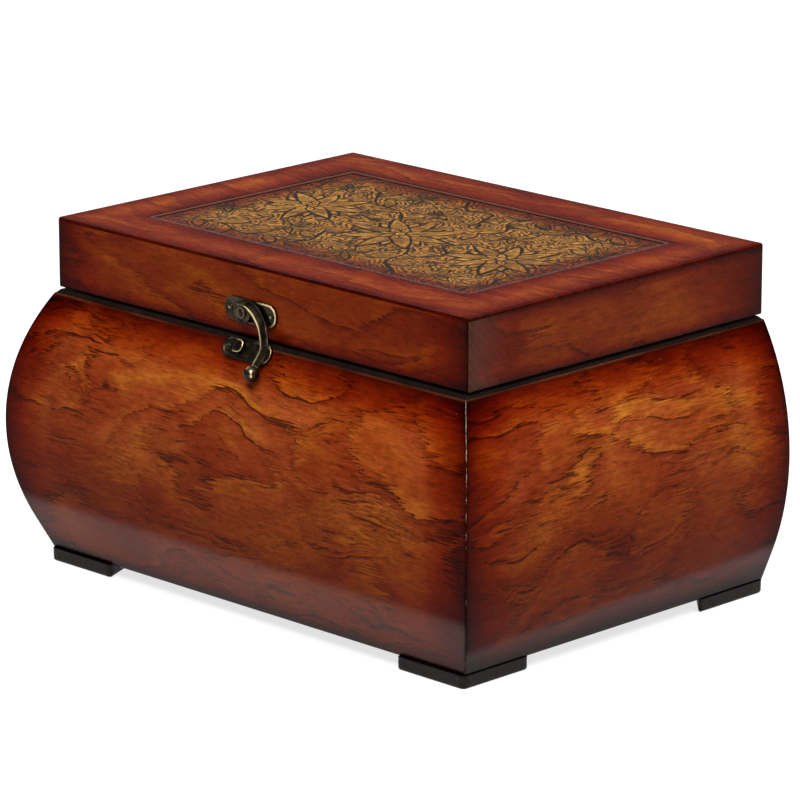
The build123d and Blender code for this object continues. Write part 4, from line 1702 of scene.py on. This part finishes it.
@dataclass
class LeatherPanel:
    """Tooled leather in the lid's window, as a relief that rolls down at its edges."""

    finish: Material
    columns: int = 380
    rows: int = 244
    gap: float = 0.15
    relief: float = 0.34
    cut_width: float = 0.8
    vein_width: float = 0.6
    edge_roll: float = 0.45
    roll_width: float = 0.7

    def _design(self) -> ToolingField:
        """Draws the flowers, sprigs and stems.

        Returns:
            The filled net.
        """
        width, depth = SIZES.panel_width - 2 * self.gap, SIZES.panel_depth - 2 * self.gap
        net = ToolingField(width, depth, self.columns, self.rows)
        sprigs = [
            ([(-88, -50), (-66, -44), (-48, -50), (-30, -44)], 13.0, 5),
            ([(-30, -58), (-18, -40), (-24, -22), (-12, -10)], 12.0, 4),
            ([(-8, 4), (-26, 22), (-44, 26), (-58, 42)], 12.0, 5),
            ([(88, 50), (70, 42), (52, 48), (34, 40)], 13.0, 5),
            ([(28, 58), (20, 42), (30, 26), (18, 10)], 12.0, 4),
            ([(10, -12), (26, -26), (30, -42), (46, -54)], 12.0, 5),
            ([(-92, 10), (-84, 28), (-88, 44), (-76, 54)], 11.0, 4),
            ([(92, -10), (84, -30), (88, -44), (78, -54)], 11.0, 4),
            ([(-20, 58), (-8, 44), (4, 46), (12, 30)], 10.0, 4),
            ([(-44, -8), (-34, 6), (-22, 4), (-10, 12)], 9.0, 3),
            ([(36, 4), (30, -8), (40, -18), (34, -30)], 9.0, 3),
        ]
        for sprig in sprigs:
            net.sprig(*sprig)
        small = [
            (-84, -22, 11, 6, 10), (-36, 46, 12, 7, 30), (40, 22, 11, 6, 0), (-40, -30, 11, 6, 15),
            (84, 22, 12, 7, 20), (8, -44, 12, 7, 5), (62, -46, 11, 6, 40), (-10, 30, 10, 6, 25),
            (-72, 38, 9, 6, 12), (50, 50, 10, 6, 33),
        ]
        for x, y, radius, petals, turn in small:
            net.flower((x, y), radius, petals, turn)
        for x, y, radius, turn in ((-60, 4, 25, 12), (2, -6, 26, 0), (62, -8, 25, 20)):
            net.flower((x, y), radius, 8, turn)
        return net

    def build(self) -> None:
        """Builds the relief and its rim."""
        net = self._design()
        bottom = SIZES.sheet_bottom + 2 * SLACK
        top = SIZES.sheet_bottom + SIZES.leather
        half_x = SIZES.panel_width / 2 - self.gap
        half_y = SIZES.panel_depth / 2 - self.gap

        def place(across: float, up: float) -> Vector:
            """Finds a point of the relief's face.

            Args:
                across: Share of the width.
                up: Share of the depth.

            Returns:
                The point in millimetres.
            """
            x, y = (2 * across - 1) * half_x, (2 * up - 1) * half_y
            outline, vein, ground, rise, _ = net.sample(x, y)
            pressed = max(0.0, 1 - outline / self.cut_width)
            pressed = min(pressed + 0.4 * max(0.0, 1 - vein / self.vein_width), 1.0)
            height = self.relief * (0.55 * rise * (1 - ground) - 0.25 * ground - 0.6 * pressed)
            edge = min(half_x - abs(x), half_y - abs(y))
            rolled = self.edge_roll * math.exp(-edge / self.roll_width)
            return Vector((x, y + SIZES.lid_middle, top + height - rolled))

        bm = mapped_grid(self.columns, self.rows, place)
        rim = [e for e in bm.edges if e.is_boundary]
        walls = bmesh.ops.extrude_edge_only(bm, edges=rim)["geom"]
        for vert in [g for g in walls if isinstance(g, BMVert)]:
            vert.co.z = bottom
        bmesh.ops.holes_fill(bm, edges=[e for e in bm.edges if e.is_boundary], sides=0)
        bmesh.ops.recalc_face_normals(bm, faces=bm.faces[:])
        layers = bm.verts.layers.float_vector
        for name in ("tooling", "flow"):
            layers.new(name)
        tooling, flow = layers["tooling"], layers["flow"]
        for vert in bm.verts:
            outline, vein, ground, _, fan = net.sample(vert.co.x, vert.co.y - SIZES.lid_middle)
            vert[tooling] = Vector((outline, vein, ground))
            vert[flow] = fan
        Piece(
            "tooled_leather_panel", bm, Body.LID, Slot.LEATHER, self.finish, ("leather_panel",),
            sharp_angle=75.0,
        ).finish()


@dataclass
class Foot:
    """Block foot under one corner, its inner side cut on a slant, with uneven painted faces."""

    side: Side
    end: Side
    finish: Material
    side_out: float = 2.0
    front_out: float = 2.8
    back_out: float = 0.5
    corner_round: float = 2.5
    edge_round: float = 1.2
    # length of the outer faces, and slant of the inner side in degrees
    front_cut: tuple[float, float] = (38.0, 22.7)
    back_cut: tuple[float, float] = (41.0, 45.0)
    cell: float = 1.8
    lump: float = 0.14

    @property
    def name(self) -> str:
        """Name of the CAD foot."""
        return f"foot_{self.end.name.lower()}_{self.side.name.lower()}"

    def _plan(self) -> list[Vector]:
        """Draws the foot seen from above.

        Returns:
            Its corners, from the outer one on.
        """
        front = self.end is Side.FRONT
        length, slant = self.front_cut if front else self.back_cut
        inner = length / (1 + math.tan(math.radians(slant)))
        plan = [(0.0, 0.0), (length, 0.0), (inner, inner), (0.0, length)]
        if not front:
            plan.pop(2)
        x = (SIZES.side + self.side_out) * (1 if self.side is Side.RIGHT else -1)
        y = SIZES.front - self.front_out if front else SIZES.back + self.back_out
        return [Vector((x - math.copysign(p, x), y + (q if front else -q), 0)) for p, q in plan]

    def build(self) -> None:
        """Builds the foot: a cut block with rounded edges, then its uneven paint."""
        bm = bmesh.new()
        bm.faces.new([bm.verts.new(corner) for corner in self._plan()])
        raise_slab(bm, SIZES.foot_height)
        upright = [e for e in bm.edges if abs(e.verts[0].co.z - e.verts[1].co.z) > 1]
        round_edges(bm, upright, self.corner_round, 5)
        lower = [e for e in bm.edges if all(v.co.z < SLACK for v in e.verts)]
        round_edges(bm, lower, self.edge_round, 4)
        bmesh.ops.triangulate(bm, faces=[f for f in bm.faces if len(f.verts) > 4])
        for _ in range(4):
            long = [e for e in bm.edges if e.calc_length() > self.cell]
            bmesh.ops.subdivide_edges(bm, edges=long, cuts=1, use_grid_fill=True)
        bmesh.ops.triangulate(bm, faces=[f for f in bm.faces if len(f.verts) > 4])
        middle = sum((v.co for v in bm.verts), Vector()) / len(bm.verts)
        for vert in bm.verts:
            side = Vector((vert.co.x - middle.x, vert.co.y - middle.y, 0))
            wave = noise.noise(vert.co * 0.45) + 0.5 * noise.noise(vert.co * 1.3)
            if 0.3 < vert.co.z < SIZES.foot_height - 0.1 and side.length > 8:
                vert.co -= side.normalized() * self.lump * (0.6 + wave)
        Piece(f"{self.name}_block", bm, Body.BOX, Slot.FOOT, self.finish, (self.name,)).finish()


@dataclass
class FeltLining:
    """Thin felt sheet on the base, laid with slight waves."""

    finish: Material
    wave: float = 0.12
    thickness: float = 0.6
    inset: float = 0.6
    sunk: float = 0.05
    pressed: float = 0.25

    def build(self) -> None:
        """Builds the sheet in the CAD liner's box."""
        low, high = (Vector(corner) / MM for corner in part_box("base_liner"))
        size = high - low
        width, depth = size.x - 2 * self.inset, size.y - 2 * self.inset

        def place(across: float, up: float) -> Vector:
            """Finds a point of the sheet's upper face, which is pressed down at its edges.

            Args:
                across: Share of the width.
                up: Share of the depth.

            Returns:
                The point in millimetres.
            """
            x, y = low.x + self.inset + across * width, low.y + self.inset + up * depth
            wave = noise.noise(Vector((x * 0.03, y * 0.03, 3.0))) * self.wave
            edge = min(min(across, 1 - across) * size.x, min(up, 1 - up) * size.y)
            return Vector((x, y, high.z - self.sunk + wave - self.pressed * math.exp(-edge / 0.8)))

        bm = mapped_grid(150, 110, place)
        thicken(bm, Vector((0, 0, 1)), self.thickness)
        felt = Piece("felt_lining", bm, Body.BOX, Slot.FELT, self.finish, ("base_liner",)).finish()


@dataclass
class Clasp:
    """Swing hook with its plate on the lid and the catch plate on the front wall."""

    finish: Material
    plate: float = 1.0
    rim: float = 0.4
    rim_width: float = 1.0
    hasp: tuple[float, float] = (-1.5, 130.6)
    hasp_size: tuple[float, float] = (30.0, 9.8)
    hasp_nails: float = 12.0
    pivot: tuple[float, float] = (-4.4, 130.2)
    boss_radius: float = 3.2
    boss_proud: float = 1.85
    hook_inner: float = 1.9
    hook_thick: float = 1.7
    head_radius: float = 4.7
    bend_z: float = 126.2
    lean: float = 23.8
    ball_radius: float = 3.4
    ball: tuple[float, float, float] = (9.0, 11.0, 108.5)
    catch: tuple[float, float] = (-0.4, 115.0)
    catch_size: tuple[float, float] = (27.8, 9.0)
    catch_nails: float = 11.0
    tongue: tuple[float, float] = (-8.0, -1.0)
    tongue_width: float = 5.4
    tongue_up: float = 0.6
    ridge: float = -0.3
    voxel: float = 0.17
    # middle line of the arm as x, z and half width, from the rivet's head to the ball
    path: Sequence[tuple[float, float, float]] = (
        (-4.4, 133.6, 1.0), (-1.4, 133.4, 2.3), (2.0, 131.6, 2.9), (4.7, 128.6, 2.9),
        (7.0, 125.2, 2.8), (9.5, 121.6, 2.7), (10.9, 118.4, 2.6), (10.4, 115.2, 2.4),
        (9.3, 112.2, 2.0), (9.0, 108.5, 1.8),
    )

    def _on_lid(self, x: float, z: float) -> Matrix:
        """Place on the lid's front, with its local Z pointing forwards."""
        turn = Matrix(((1, 0, 0), (0, 0, -1), (0, 1, 0))).to_4x4()
        return Matrix.Translation((x, SIZES.lid_front, z)) @ turn

    def _on_wall(self, x: float, z: float) -> Matrix:
        """Finds a place on the bowed front wall.

        Args:
            x: Place across the box.
            z: Height above the table.

        Returns:
            The place, with its local Z square to the wall.
        """
        lean = math.asin((z - SIZES.bow_middle) / SIZES.bow_radius)
        cos, sin = math.cos(lean), math.sin(lean)
        turn = Matrix(((1, 0, 0), (0, sin, -cos), (0, cos, sin))).to_4x4()
        return Matrix.Translation((x, SIZES.front - SIZES.bow_out(z), z)) @ turn

    def _plate(self, length: float, height: float) -> BMesh:
        """Round-ended plate with a raised rim, lying on z = 0.

        Args:
            length: Length over both round ends.
            height: Height, which is twice the radius of the ends.

        Returns:
            The plate.
        """
        bm = bmesh.new()
        bmesh.ops.create_circle(bm, cap_ends=True, segments=64, radius=height / 2)
        stretch = (length - height) / 2
        for vert in bm.verts:
            if abs(vert.co.x) > 1e-4:
                vert.co.x += math.copysign(stretch, vert.co.x)
        raise_slab(bm, self.plate + self.rim)
        top = [f for f in bm.faces if f.normal.z > 0.9]
        bmesh.ops.inset_region(bm, faces=top, thickness=self.rim_width * 0.8, depth=0)
        bmesh.ops.inset_region(bm, faces=top, thickness=self.rim_width * 0.35, depth=-self.rim)
        round_sharp(bm, 0.16, 3, 20.0)
        return bm

    def _rim_wear_and_highlight(self, point: Vector) -> float:
        """Finds the wear of a plate's rim, with a painted highlight round its right end.

        Args:
            point: Point of the plate.

        Returns:
            Wear from 0 to 1, or a little more.
        """
        share = max(0.0, (point.z - self.plate) / self.rim)
        side = min(max((point.x - 6.5) / 4.5, 0.0), 1.0) * (0.75 + 0.25 * point.y / 5)
        spots = 0.5 + 0.5 * noise.noise(point * 0.7)
        return share * (0.12 + 0.9 * side) * (0.6 + 0.6 * spots)

    def _nails(self, spread: float) -> BMesh:
        """Two nails with low domed heads, resting on a plate.

        Args:
            spread: Distance of each nail from the plate's middle.

        Returns:
            Both nails as one mesh.
        """
        profile = [(0, -6.2), (0.25, -5.6), (0.6, -4.6), (0.6, -0.02), (1.36, 0.0), (1.5, 0.1)]
        dome = np.linspace(0.12, 1.5, 8)
        profile += [(1.5 * math.cos(t), 0.12 + 0.52 * math.sin(t)) for t in dome]
        profile += [(0, 0.64)]
        nails = []
        for x in (-spread, spread):
            nail = spun(profile, 32)
            # the top of each head is drawn pale, as wear and as a painted highlight
            set_wear_and_highlight(nail, lambda p: 0.5 * max(0.0, (p.z - 0.5) / 0.14))
            bmesh.ops.translate(nail, vec=(x, 0, self.plate), verts=nail.verts[:])
            nails.append(nail)
        return joined(nails)

    def _boss(self) -> BMesh:
        """Turns the round boss that carries the hook.

        Returns:
            The boss, standing on z = 0, with two turned rings.
        """
        radius, top = self.boss_radius, self.boss_proud
        profile = [(0, 0.1), (radius + 0.5, 0.1), (radius + 0.4, self.plate + 0.05),
                   (radius, self.plate + 0.3), (radius, top - 0.12), (radius - 0.12, top), (0, top)]
        boss = spun(profile, 48)
        set_wear_and_highlight(boss, lambda p: 0.3 if p.z > top - 0.2 else 0.0)
        return boss

    def _rivet(self) -> BMesh:
        """Turns the rivet that the hook swings on.

        Returns:
            The rivet, standing on z = 0, with a ringed and domed head.
        """
        top = self.hook_inner + self.hook_thick + 0.05
        profile = [(0, 0.2), (1.2, 0.2), (1.2, top), (2.3, top), (2.4, top + 0.12),
                   (2.34, top + 0.3), (2.15, top + 0.42), (1.9, top + 0.42), (1.72, top + 0.32),
                   (1.5, top + 0.36)]
        dome = np.linspace(0.1, 1.5, 7)
        profile += [(1.42 * math.cos(t), top + 0.38 + 0.47 * math.sin(t)) for t in dome]
        profile += [(0, top + 0.85)]
        rivet = spun(profile, 48)

        def amount(p: Vector) -> float:
            """Wear of the ring, and of the dome's top."""
            ring = p.z > top + 0.36 and math.hypot(p.x, p.y) > 1.85
            return 0.42 if ring else 0.3 * max(0.0, (p.z - top - 0.6) / 0.25)

        set_wear_and_highlight(rivet, amount)
        return rivet

    def _tongue(self) -> BMesh:
        """Presses the tongue up from the catch plate.

        Returns:
            The tongue, with a rounded free end.
        """
        left, right = self.tongue
        half = self.tongue_width / 2

        def place(along: float, across: float) -> Vector:
            """Finds a point of the tongue's upper face.

            Args:
                along: Share of the way to the free end.
                across: Share of the width.

            Returns:
                The point in millimetres.
            """
            x = left + along * (right - left)
            end = max(0.0, (x - (right - half)) / half)
            width = half * math.sqrt(max(0.0, 1 - min(end, 0.999) ** 2.4))
            climb = min(1.0, along / 0.42)
            z = self.plate + 0.4 + 1.9 * climb * climb * (3 - 2 * climb)
            crown = 0.25 * (1 - (2 * across - 1) ** 2)
            side = (2 * across - 1) * max(width, 0.05)
            return Vector((x, self.tongue_up + side, z + crown - 0.25))

        bm = mapped_grid(26, 14, place)
        thicken(bm, Vector((0, 0, 1)), 0.9)
        round_sharp(bm, 0.2, 2, 50.0)

        def amount(p: Vector) -> float:
            """Wear and painted highlight along the rim of the tongue's raised end."""
            away = math.hypot(max(0.0, p.x - right + half), p.y - self.tongue_up) / half
            return 1.1 * away**7 + 0.12 if p.z > self.plate + 1.2 else 0.1

        set_wear_and_highlight(bm, amount)
        return bm

    def _proud(self, z: float) -> float:
        """Measures how far the back of the arm stands off the lid's face.

        Args:
            z: Height above the table.

        Returns:
            Millimetres.
        """
        below = self.bend_z - z
        soft = 0.5 * (below + math.sqrt(below * below + 1.2))
        return self.hook_inner + soft * math.tan(math.radians(self.lean))

    def _arm(self) -> tuple[BMesh, np.ndarray]:
        """Sweeps the arm's ridged section along its line.

        Returns:
            The arm, and its line as x, z and half width.
        """
        line = smooth_path(self.path, 9)
        last = len(line) - 1

        def place(along: float, around: float) -> Vector:
            """Finds a point of the arm's skin.

            Args:
                along: Share of the way from the rivet to the ball.
                around: Share of the way round the section.

            Returns:
                The point in millimetres.
            """
            spot = min(round(along * last), last)
            x, z, half = line[spot]
            before, after = line[max(spot - 1, 0)], line[min(spot + 1, last)]
            step = Vector((after[0] - before[0], after[1] - before[1])).normalized()
            turn = around * math.tau
            across = math.cos(turn)
            lift = math.sin(turn)
            gap = across - self.ridge
            gap /= 1 - self.ridge if gap > 0 else 1 + self.ridge
            crest = 0.75 + 0.95 * (1 - abs(gap) ** 1.25)
            height = 0.42 + (crest - 0.42) * lift ** 0.5 if lift > 0 else 0.42 * (1 + lift)
            side = half * (abs(across) ** 0.8) * (1 if across > 0 else -1)
            proud = self._proud(z) + height
            # across runs from the arm's left to its right, seen from the front
            return Vector((x - step.y * side, SIZES.lid_front - proud, z + step.x * side))

        bm = mapped_grid(last, 28, place)
        bmesh.ops.remove_doubles(bm, verts=bm.verts[:], dist=1e-3)
        bmesh.ops.holes_fill(bm, edges=[e for e in bm.edges if e.is_boundary], sides=0)
        bmesh.ops.recalc_face_normals(bm, faces=bm.faces[:])
        return bm, line

    def _hook(self) -> BMesh:
        """Casts the hook: head, arm and ball melted into one skin, with its ridge drawn bright as
        wear and painted highlight.

        Returns:
            The hook in its place.
        """
        arm, line = self._arm()
        low, high = self.hook_inner, self.hook_inner + self.hook_thick
        radius = self.head_radius
        profile = [(0, low), (radius - 0.3, low), (radius, low + 0.3), (radius, high - 0.45),
                   (radius - 0.35, high - 0.05), (radius - 0.8, high), (radius - 1.2, high - 0.2),
                   (0, high - 0.25)]
        head = spun(profile, 72)
        bmesh.ops.transform(head, matrix=self._on_lid(*self.pivot), verts=head.verts[:])
        ball = bmesh.new()
        bmesh.ops.create_uvsphere(ball, u_segments=48, v_segments=24, radius=self.ball_radius)
        x, proud, z = self.ball
        bmesh.ops.translate(ball, vec=(x, SIZES.lid_front - proud, z), verts=ball.verts[:])
        whole = joined([arm, head, ball])
        cast = with_modifier(whole, "REMESH", mode="VOXEL", voxel_size=self.voxel)
        for _ in range(3):
            bmesh.ops.smooth_vert(
                cast, verts=cast.verts[:], factor=0.5,
                use_axis_x=True, use_axis_y=True, use_axis_z=True,
            )
        self._hook_wear_and_highlight(cast, line)
        return cast

    def _hook_wear_and_highlight(self, bm: BMesh, line: np.ndarray) -> None:
        """Writes the wear and painted highlights of the hook: its ridge, its head's edge and the
        top of its ball.

        Args:
            bm: Hook in its place.
            line: Middle line of the arm as x, z and half width.
        """
        steps = np.gradient(line[:, :2], axis=0)
        steps /= np.linalg.norm(steps, axis=1)[:, None]
        ball_x, ball_proud, ball_z = self.ball

        def amount(p: Vector) -> float:
            """Finds the wear at a point.

            Args:
                p: Point of the hook.

            Returns:
                Wear from 0 to 1, or a little more.
            """
            gaps = (line[:, 0] - p.x) ** 2 + (line[:, 1] - p.z) ** 2
            spot = int(np.argmin(gaps))
            x, z, half = line[spot]
            across = (-(p.x - x) * steps[spot, 1] + (p.z - z) * steps[spot, 0]) / half
            proud = SIZES.lid_front - p.y - self._proud(p.z)
            ridge = math.exp(-(((across - self.ridge) / 0.17) ** 2)) if proud > 1.15 else 0.0
            to_ball = math.dist((p.x, SIZES.lid_front - p.y, p.z), (ball_x, ball_proud, ball_z))
            if to_ball < self.ball_radius + 0.25 and p.z < ball_z + 2.2:
                top = SIZES.lid_front - p.y - ball_proud
                # painted highlight: the ridge's bright line runs on over the ball's right front as
                # far as its middle
                aside = (p.x - ball_x - top) * math.sqrt(0.5)
                ridged = p.z > ball_z - 0.5 and p.x > ball_x - 0.6
                crest = math.exp(-((aside / 0.45) ** 2)) if ridged else 0.0
                return max(0.2 * max(0.0, top / self.ball_radius) ** 4, crest)
            if proud < 0.5:
                return 0.05
            fade = min(1.0, max(0.0, (spot - 2) / 8))
            return 1.1 * ridge * (0.35 + 0.65 * fade) + 0.08

        set_wear_and_highlight(bm, amount)

    def build(self) -> None:
        """Builds every piece of the clasp."""
        hasp = self._plate(*self.hasp_size)
        catch = self._plate(*self.catch_size)
        for plate in (hasp, catch):
            set_wear_and_highlight(plate, self._rim_wear_and_highlight)
        hasp_nails, catch_nails = self._nails(self.hasp_nails), self._nails(self.catch_nails)
        boss = self._boss()
        aside = Vector((*self.pivot, 0)) - Vector((*self.hasp, 0))
        bmesh.ops.translate(boss, vec=aside, verts=boss.verts[:])
        at_hasp, at_pivot = self._on_lid(*self.hasp), self._on_lid(*self.pivot)
        at_catch = self._on_wall(*self.catch)
        for name, parts, where, body, replaced in (
            ("hasp_plate_cast", [hasp, boss], at_hasp, Body.LID, "hasp_plate"),
            ("hasp_nail_pair", [hasp_nails], at_hasp, Body.LID, "hasp_plate_nails"),
            ("hook_pivot_rivet", [self._rivet()], at_pivot, Body.LID, "hook_rivet"),
            ("catch_plate_cast", [catch, self._tongue()], at_catch, Body.BOX, "catch_plate"),
            ("catch_nail_pair", [catch_nails], at_catch, Body.BOX, "catch_plate_nails"),
            ("swing_hook_cast", [self._hook()], Matrix.Identity(4), Body.HOOK, "swing_hook"),
        ):
            bm = joined(parts)
            bmesh.ops.transform(bm, matrix=where, verts=bm.verts[:])
            Piece(name, bm, body, Slot.BRONZE, self.finish, (replaced,)).finish()


@dataclass
class HingeScrews:
    """Slotted countersunk screws of both hinges, in the lid's leaves or in the body's."""

    name: str
    body: Body
    finish: Material
    head_radius: float = 1.9
    shank_radius: float = 0.85
    root_share: float = 0.78
    half_pitch: float = 0.42
    slot_width: float = 0.55
    slot_depth: float = 0.35
    leaf: float = 0.8
    length: float = 8.0
    spread: float = 9.5
    hinge_x: float = 72.0

    def _screw(self) -> BMesh:
        """Turns one screw and cuts its slot.

        Returns:
            The screw pointing up, with its slotted head at z = 0.
        """
        head, shank, tip = self.head_radius, self.shank_radius, self.leaf + self.length
        threads = [
            (shank * (1.0 if i % 2 else self.root_share), self.leaf + 0.6 + i * self.half_pitch)
            for i in range(15)
        ]
        screw = spun([(0, 0), (head - 0.05, 0), (head, 0.06), (shank, self.leaf), *threads,
                      (0.3, tip - 0.6), (0, tip)], 32)
        blade = bmesh.new()
        bmesh.ops.create_cube(blade, size=1.0)
        size = (2.4 * head, self.slot_width, 2 * self.slot_depth)
        bmesh.ops.scale(blade, vec=size, verts=blade.verts[:])
        mesh = mesh_from(blade, "slot_blade")
        cutter = put_in_scene("slot_blade", mesh)
        cut = with_modifier(screw, "BOOLEAN", operation="DIFFERENCE", object=cutter, solver="EXACT")
        bpy.data.objects.remove(cutter)
        bpy.data.meshes.remove(mesh)
        return cut

    def build(self) -> None:
        """Builds the four screws of this body's leaves."""
        low, high = (Vector(corner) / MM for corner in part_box(self.name))
        up = self.body is Body.LID
        start = low.z if up else high.z
        middle_y = (low.y + high.y) / 2
        screws = []
        hinges, offsets = (-self.hinge_x, self.hinge_x), (-self.spread, self.spread)
        for index, x in enumerate(hinge + offset for hinge in hinges for offset in offsets):
            screw = self._screw()
            turn = Matrix.Rotation(math.radians(37 + 61 * index), 4, "Z")
            if not up:
                turn = turn @ Matrix.Rotation(math.pi, 4, "X")
            where = Matrix.Translation((x, middle_y, start)) @ turn
            bmesh.ops.transform(screw, matrix=where, verts=screw.verts[:])
            screws.append(screw)
        bm = joined(screws)
        set_wear_and_highlight(bm, lambda p: 0.25 if abs(p.z - start) < 0.1 else 0.0)
        name = f"{self.name}_slotted"
        Piece(name, bm, self.body, Slot.BRONZE, self.finish, (self.name,)).finish()


@dataclass
class CarriedOver:
    """CAD nodes whose shape is kept, with a finish for each group."""

    frame: dict

    def dress(self, names: Sequence[str], finish: Material) -> None:
        """Gives nodes a finish.

        Args:
            names: CAD nodes.
            finish: Material that they get.
        """
        for name in names:
            node = self.frame["nodes"][name]
            if not node.material_slots:
                node.data.materials.append(finish)
            for material_slot in node.material_slots:
                material_slot.material = finish
            LOG.info("%s: kept from the CAD as %s", name, finish.name)


@dataclass
class Studio:
    """Pale floor, soft lights and the camera at the photograph's viewing angle."""

    target: tuple[float, float, float] = (0.0015, 0.0, 0.078)
    azimuth: float = 44.871
    elevation: float = 15.552
    distance: float = 2.1026
    lens: float = 226.717
    sensor: float = 36.0

    def _aim(
        self, thing: Object, target: tuple[float, float, float], azimuth: float,
        elevation: float, distance: float,
    ) -> None:
        """Places a light or camera round a point and points it there.

        Args:
            thing: Light or camera.
            target: Point that it looks at, in metres.
            azimuth: Azimuth in degrees, from the front to the right.
            elevation: Elevation in degrees.
            distance: Distance in metres.
        """
        a, e = math.radians(azimuth), math.radians(elevation)
        away = Vector((math.sin(a) * math.cos(e), -math.cos(a) * math.cos(e), math.sin(e)))
        thing.location = Vector(target) + away * distance
        thing.rotation_mode = "QUATERNION"
        thing.rotation_quaternion = (-away).to_track_quat("-Z", "Y")

    def _camera(self) -> None:
        """Sets up the camera."""
        data = bpy.data.cameras.new("camera")
        data.lens = self.lens
        data.sensor_width = self.sensor
        data.clip_start, data.clip_end = 0.05, 30
        camera = put_in_scene("camera", data)
        self._aim(camera, self.target, self.azimuth, self.elevation, self.distance)
        bpy.context.scene.camera = camera

    def _softbox(
        self, name: str, azimuth: float, elevation: float, distance: float, size: float,
        power: float,
    ) -> None:
        """Hangs a square softbox that points at the object.

        Args:
            name: Name of the light.
            azimuth: Azimuth in degrees, as the camera's.
            elevation: Elevation in degrees.
            distance: Distance in metres.
            size: Width in metres.
            power: Power in watts.
        """
        data = bpy.data.lights.new(name, "AREA")
        data.shape = "SQUARE"
        data.size = size
        data.energy = power
        self._aim(put_in_scene(name, data), (0, 0, 0.08), azimuth, elevation, distance)

    def _world(self) -> None:
        """Lights the room: a backdrop that is seen white, dim walls and a bright ceiling."""
        world = bpy.data.worlds.new("studio_room")
        bpy.context.scene.world = world
        world.use_nodes = True
        add = partial(add_node, world.node_tree)
        _, _, rise = add("SeparateXYZ", [add("TexCoord", output="Generated")]).node.outputs
        upper = [(0.14, "#5a5a5c"), (0.45, "#606062"), (0.75, "#c8c8c8"), (1.0, "#e6e6e6")]
        room = add("ValToRGB", [rise], stops=[(0.0, "#ffffff"), (0.095, "#ffffff"), *upper])
        # the backdrop lights the box like the dim walls beside it
        lit = add("ValToRGB", [rise], stops=[(0.0, "#8c8c8e"), *upper])
        sky = add("Mix", {0: seen_share(add), 6: lit, 7: room}, **MIXED)
        fill_inputs(world.node_tree.nodes["Background"], {"Color": sky, "Strength": 1.0})

    def build(self) -> None:
        """Builds the floor, the lights and the camera."""
        bm = bmesh.new()
        bmesh.ops.create_grid(bm, x_segments=8, y_segments=8, size=7.0)
        mesh = mesh_from(bm, "floor")
        mesh.materials.append(FloorPaper().build())
        floor = put_in_scene("floor", mesh)
        self._softbox("softbox_over", 45, 86, 1.9, 1.5, 16)
        self._softbox("softbox_key", 22, 52, 1.8, 0.9, 23)
        self._softbox("softbox_fill", 82, 50, 1.8, 0.9, 16)
        self._softbox("softbox_back_left", 250, 52, 2.0, 0.9, 9)
        self._softbox("softbox_back_right", 160, 52, 2.0, 0.9, 9)
        self._world()
        self._camera()
        bpy.context.scene.view_settings.view_transform = "Standard"


@dataclass
class KeepsakeBox:
    """The whole box: builds its sub-assemblies in order."""

    frame: dict
    finishes: FinishBook = field(default_factory=FinishBook)

    def _skins(self) -> None:
        """Builds the veneer sheets of the body and the lid."""
        veneers = self.finishes.veneers
        for side in Side:
            name = side.name.lower()
            VeneerSkin(
                f"{name}_veneer", side, Body.BOX, veneers[name], SIZES.foot_height,
                SIZES.veneer_top, bowed=side is not Side.BACK,
                end_round=0.55 if side is Side.BACK else 0.75, low_round=0.4, high_round=0.4,
            ).build()
            VeneerSkin(
                f"lid_{name}_veneer", side, Body.LID,
                veneers["lid_right" if side is Side.RIGHT else "lid_side"], SIZES.lid_bottom,
                SIZES.sheet_bottom, bowed=False, end_round=SIZES.lid_round,
                low_round=SIZES.lid_bottom_round, high_round=0.02, rows=30,
            ).build()
        LidTopSheet(veneers["lid_top"]).build()

    def build(self) -> None:
        """Builds every piece and dresses the carried-over nodes."""
        self.finishes.build()
        book = self.finishes
        self._skins()
        LeatherPanel(book.leather).build()
        for end in (Side.FRONT, Side.BACK):
            for side in (Side.LEFT, Side.RIGHT):
                Foot(side, end, book.foot).build()
        FeltLining(book.felt).build()
        Clasp(book.bronze).build()
        HingeScrews("hinge_body_screws", Body.BOX, book.bronze).build()
        HingeScrews("hinge_lid_screws", Body.LID, book.bronze).build()
        kept = CarriedOver(self.frame)
        sides = [side.name.lower() for side in Side]
        kept.dress([f"{side}_wall" for side in sides] + ["base_board"], book.board)
        kept.dress([f"lid_{side}_rail" for side in sides] + ["lid_top_board"], book.board)
        for part in ("body_leaf", "lid_leaf", "pin"):
            kept.dress([f"hinge_{part}_{hand}" for hand in ("left", "right")], book.bronze)


def main() -> None:
    """Loads the frame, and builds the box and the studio."""
    logging.basicConfig(level=logging.INFO, format="%(name)s: %(message)s")
    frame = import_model()
    KeepsakeBox(frame).build()
    Studio().build()


if __name__ == "__main__":
    main()
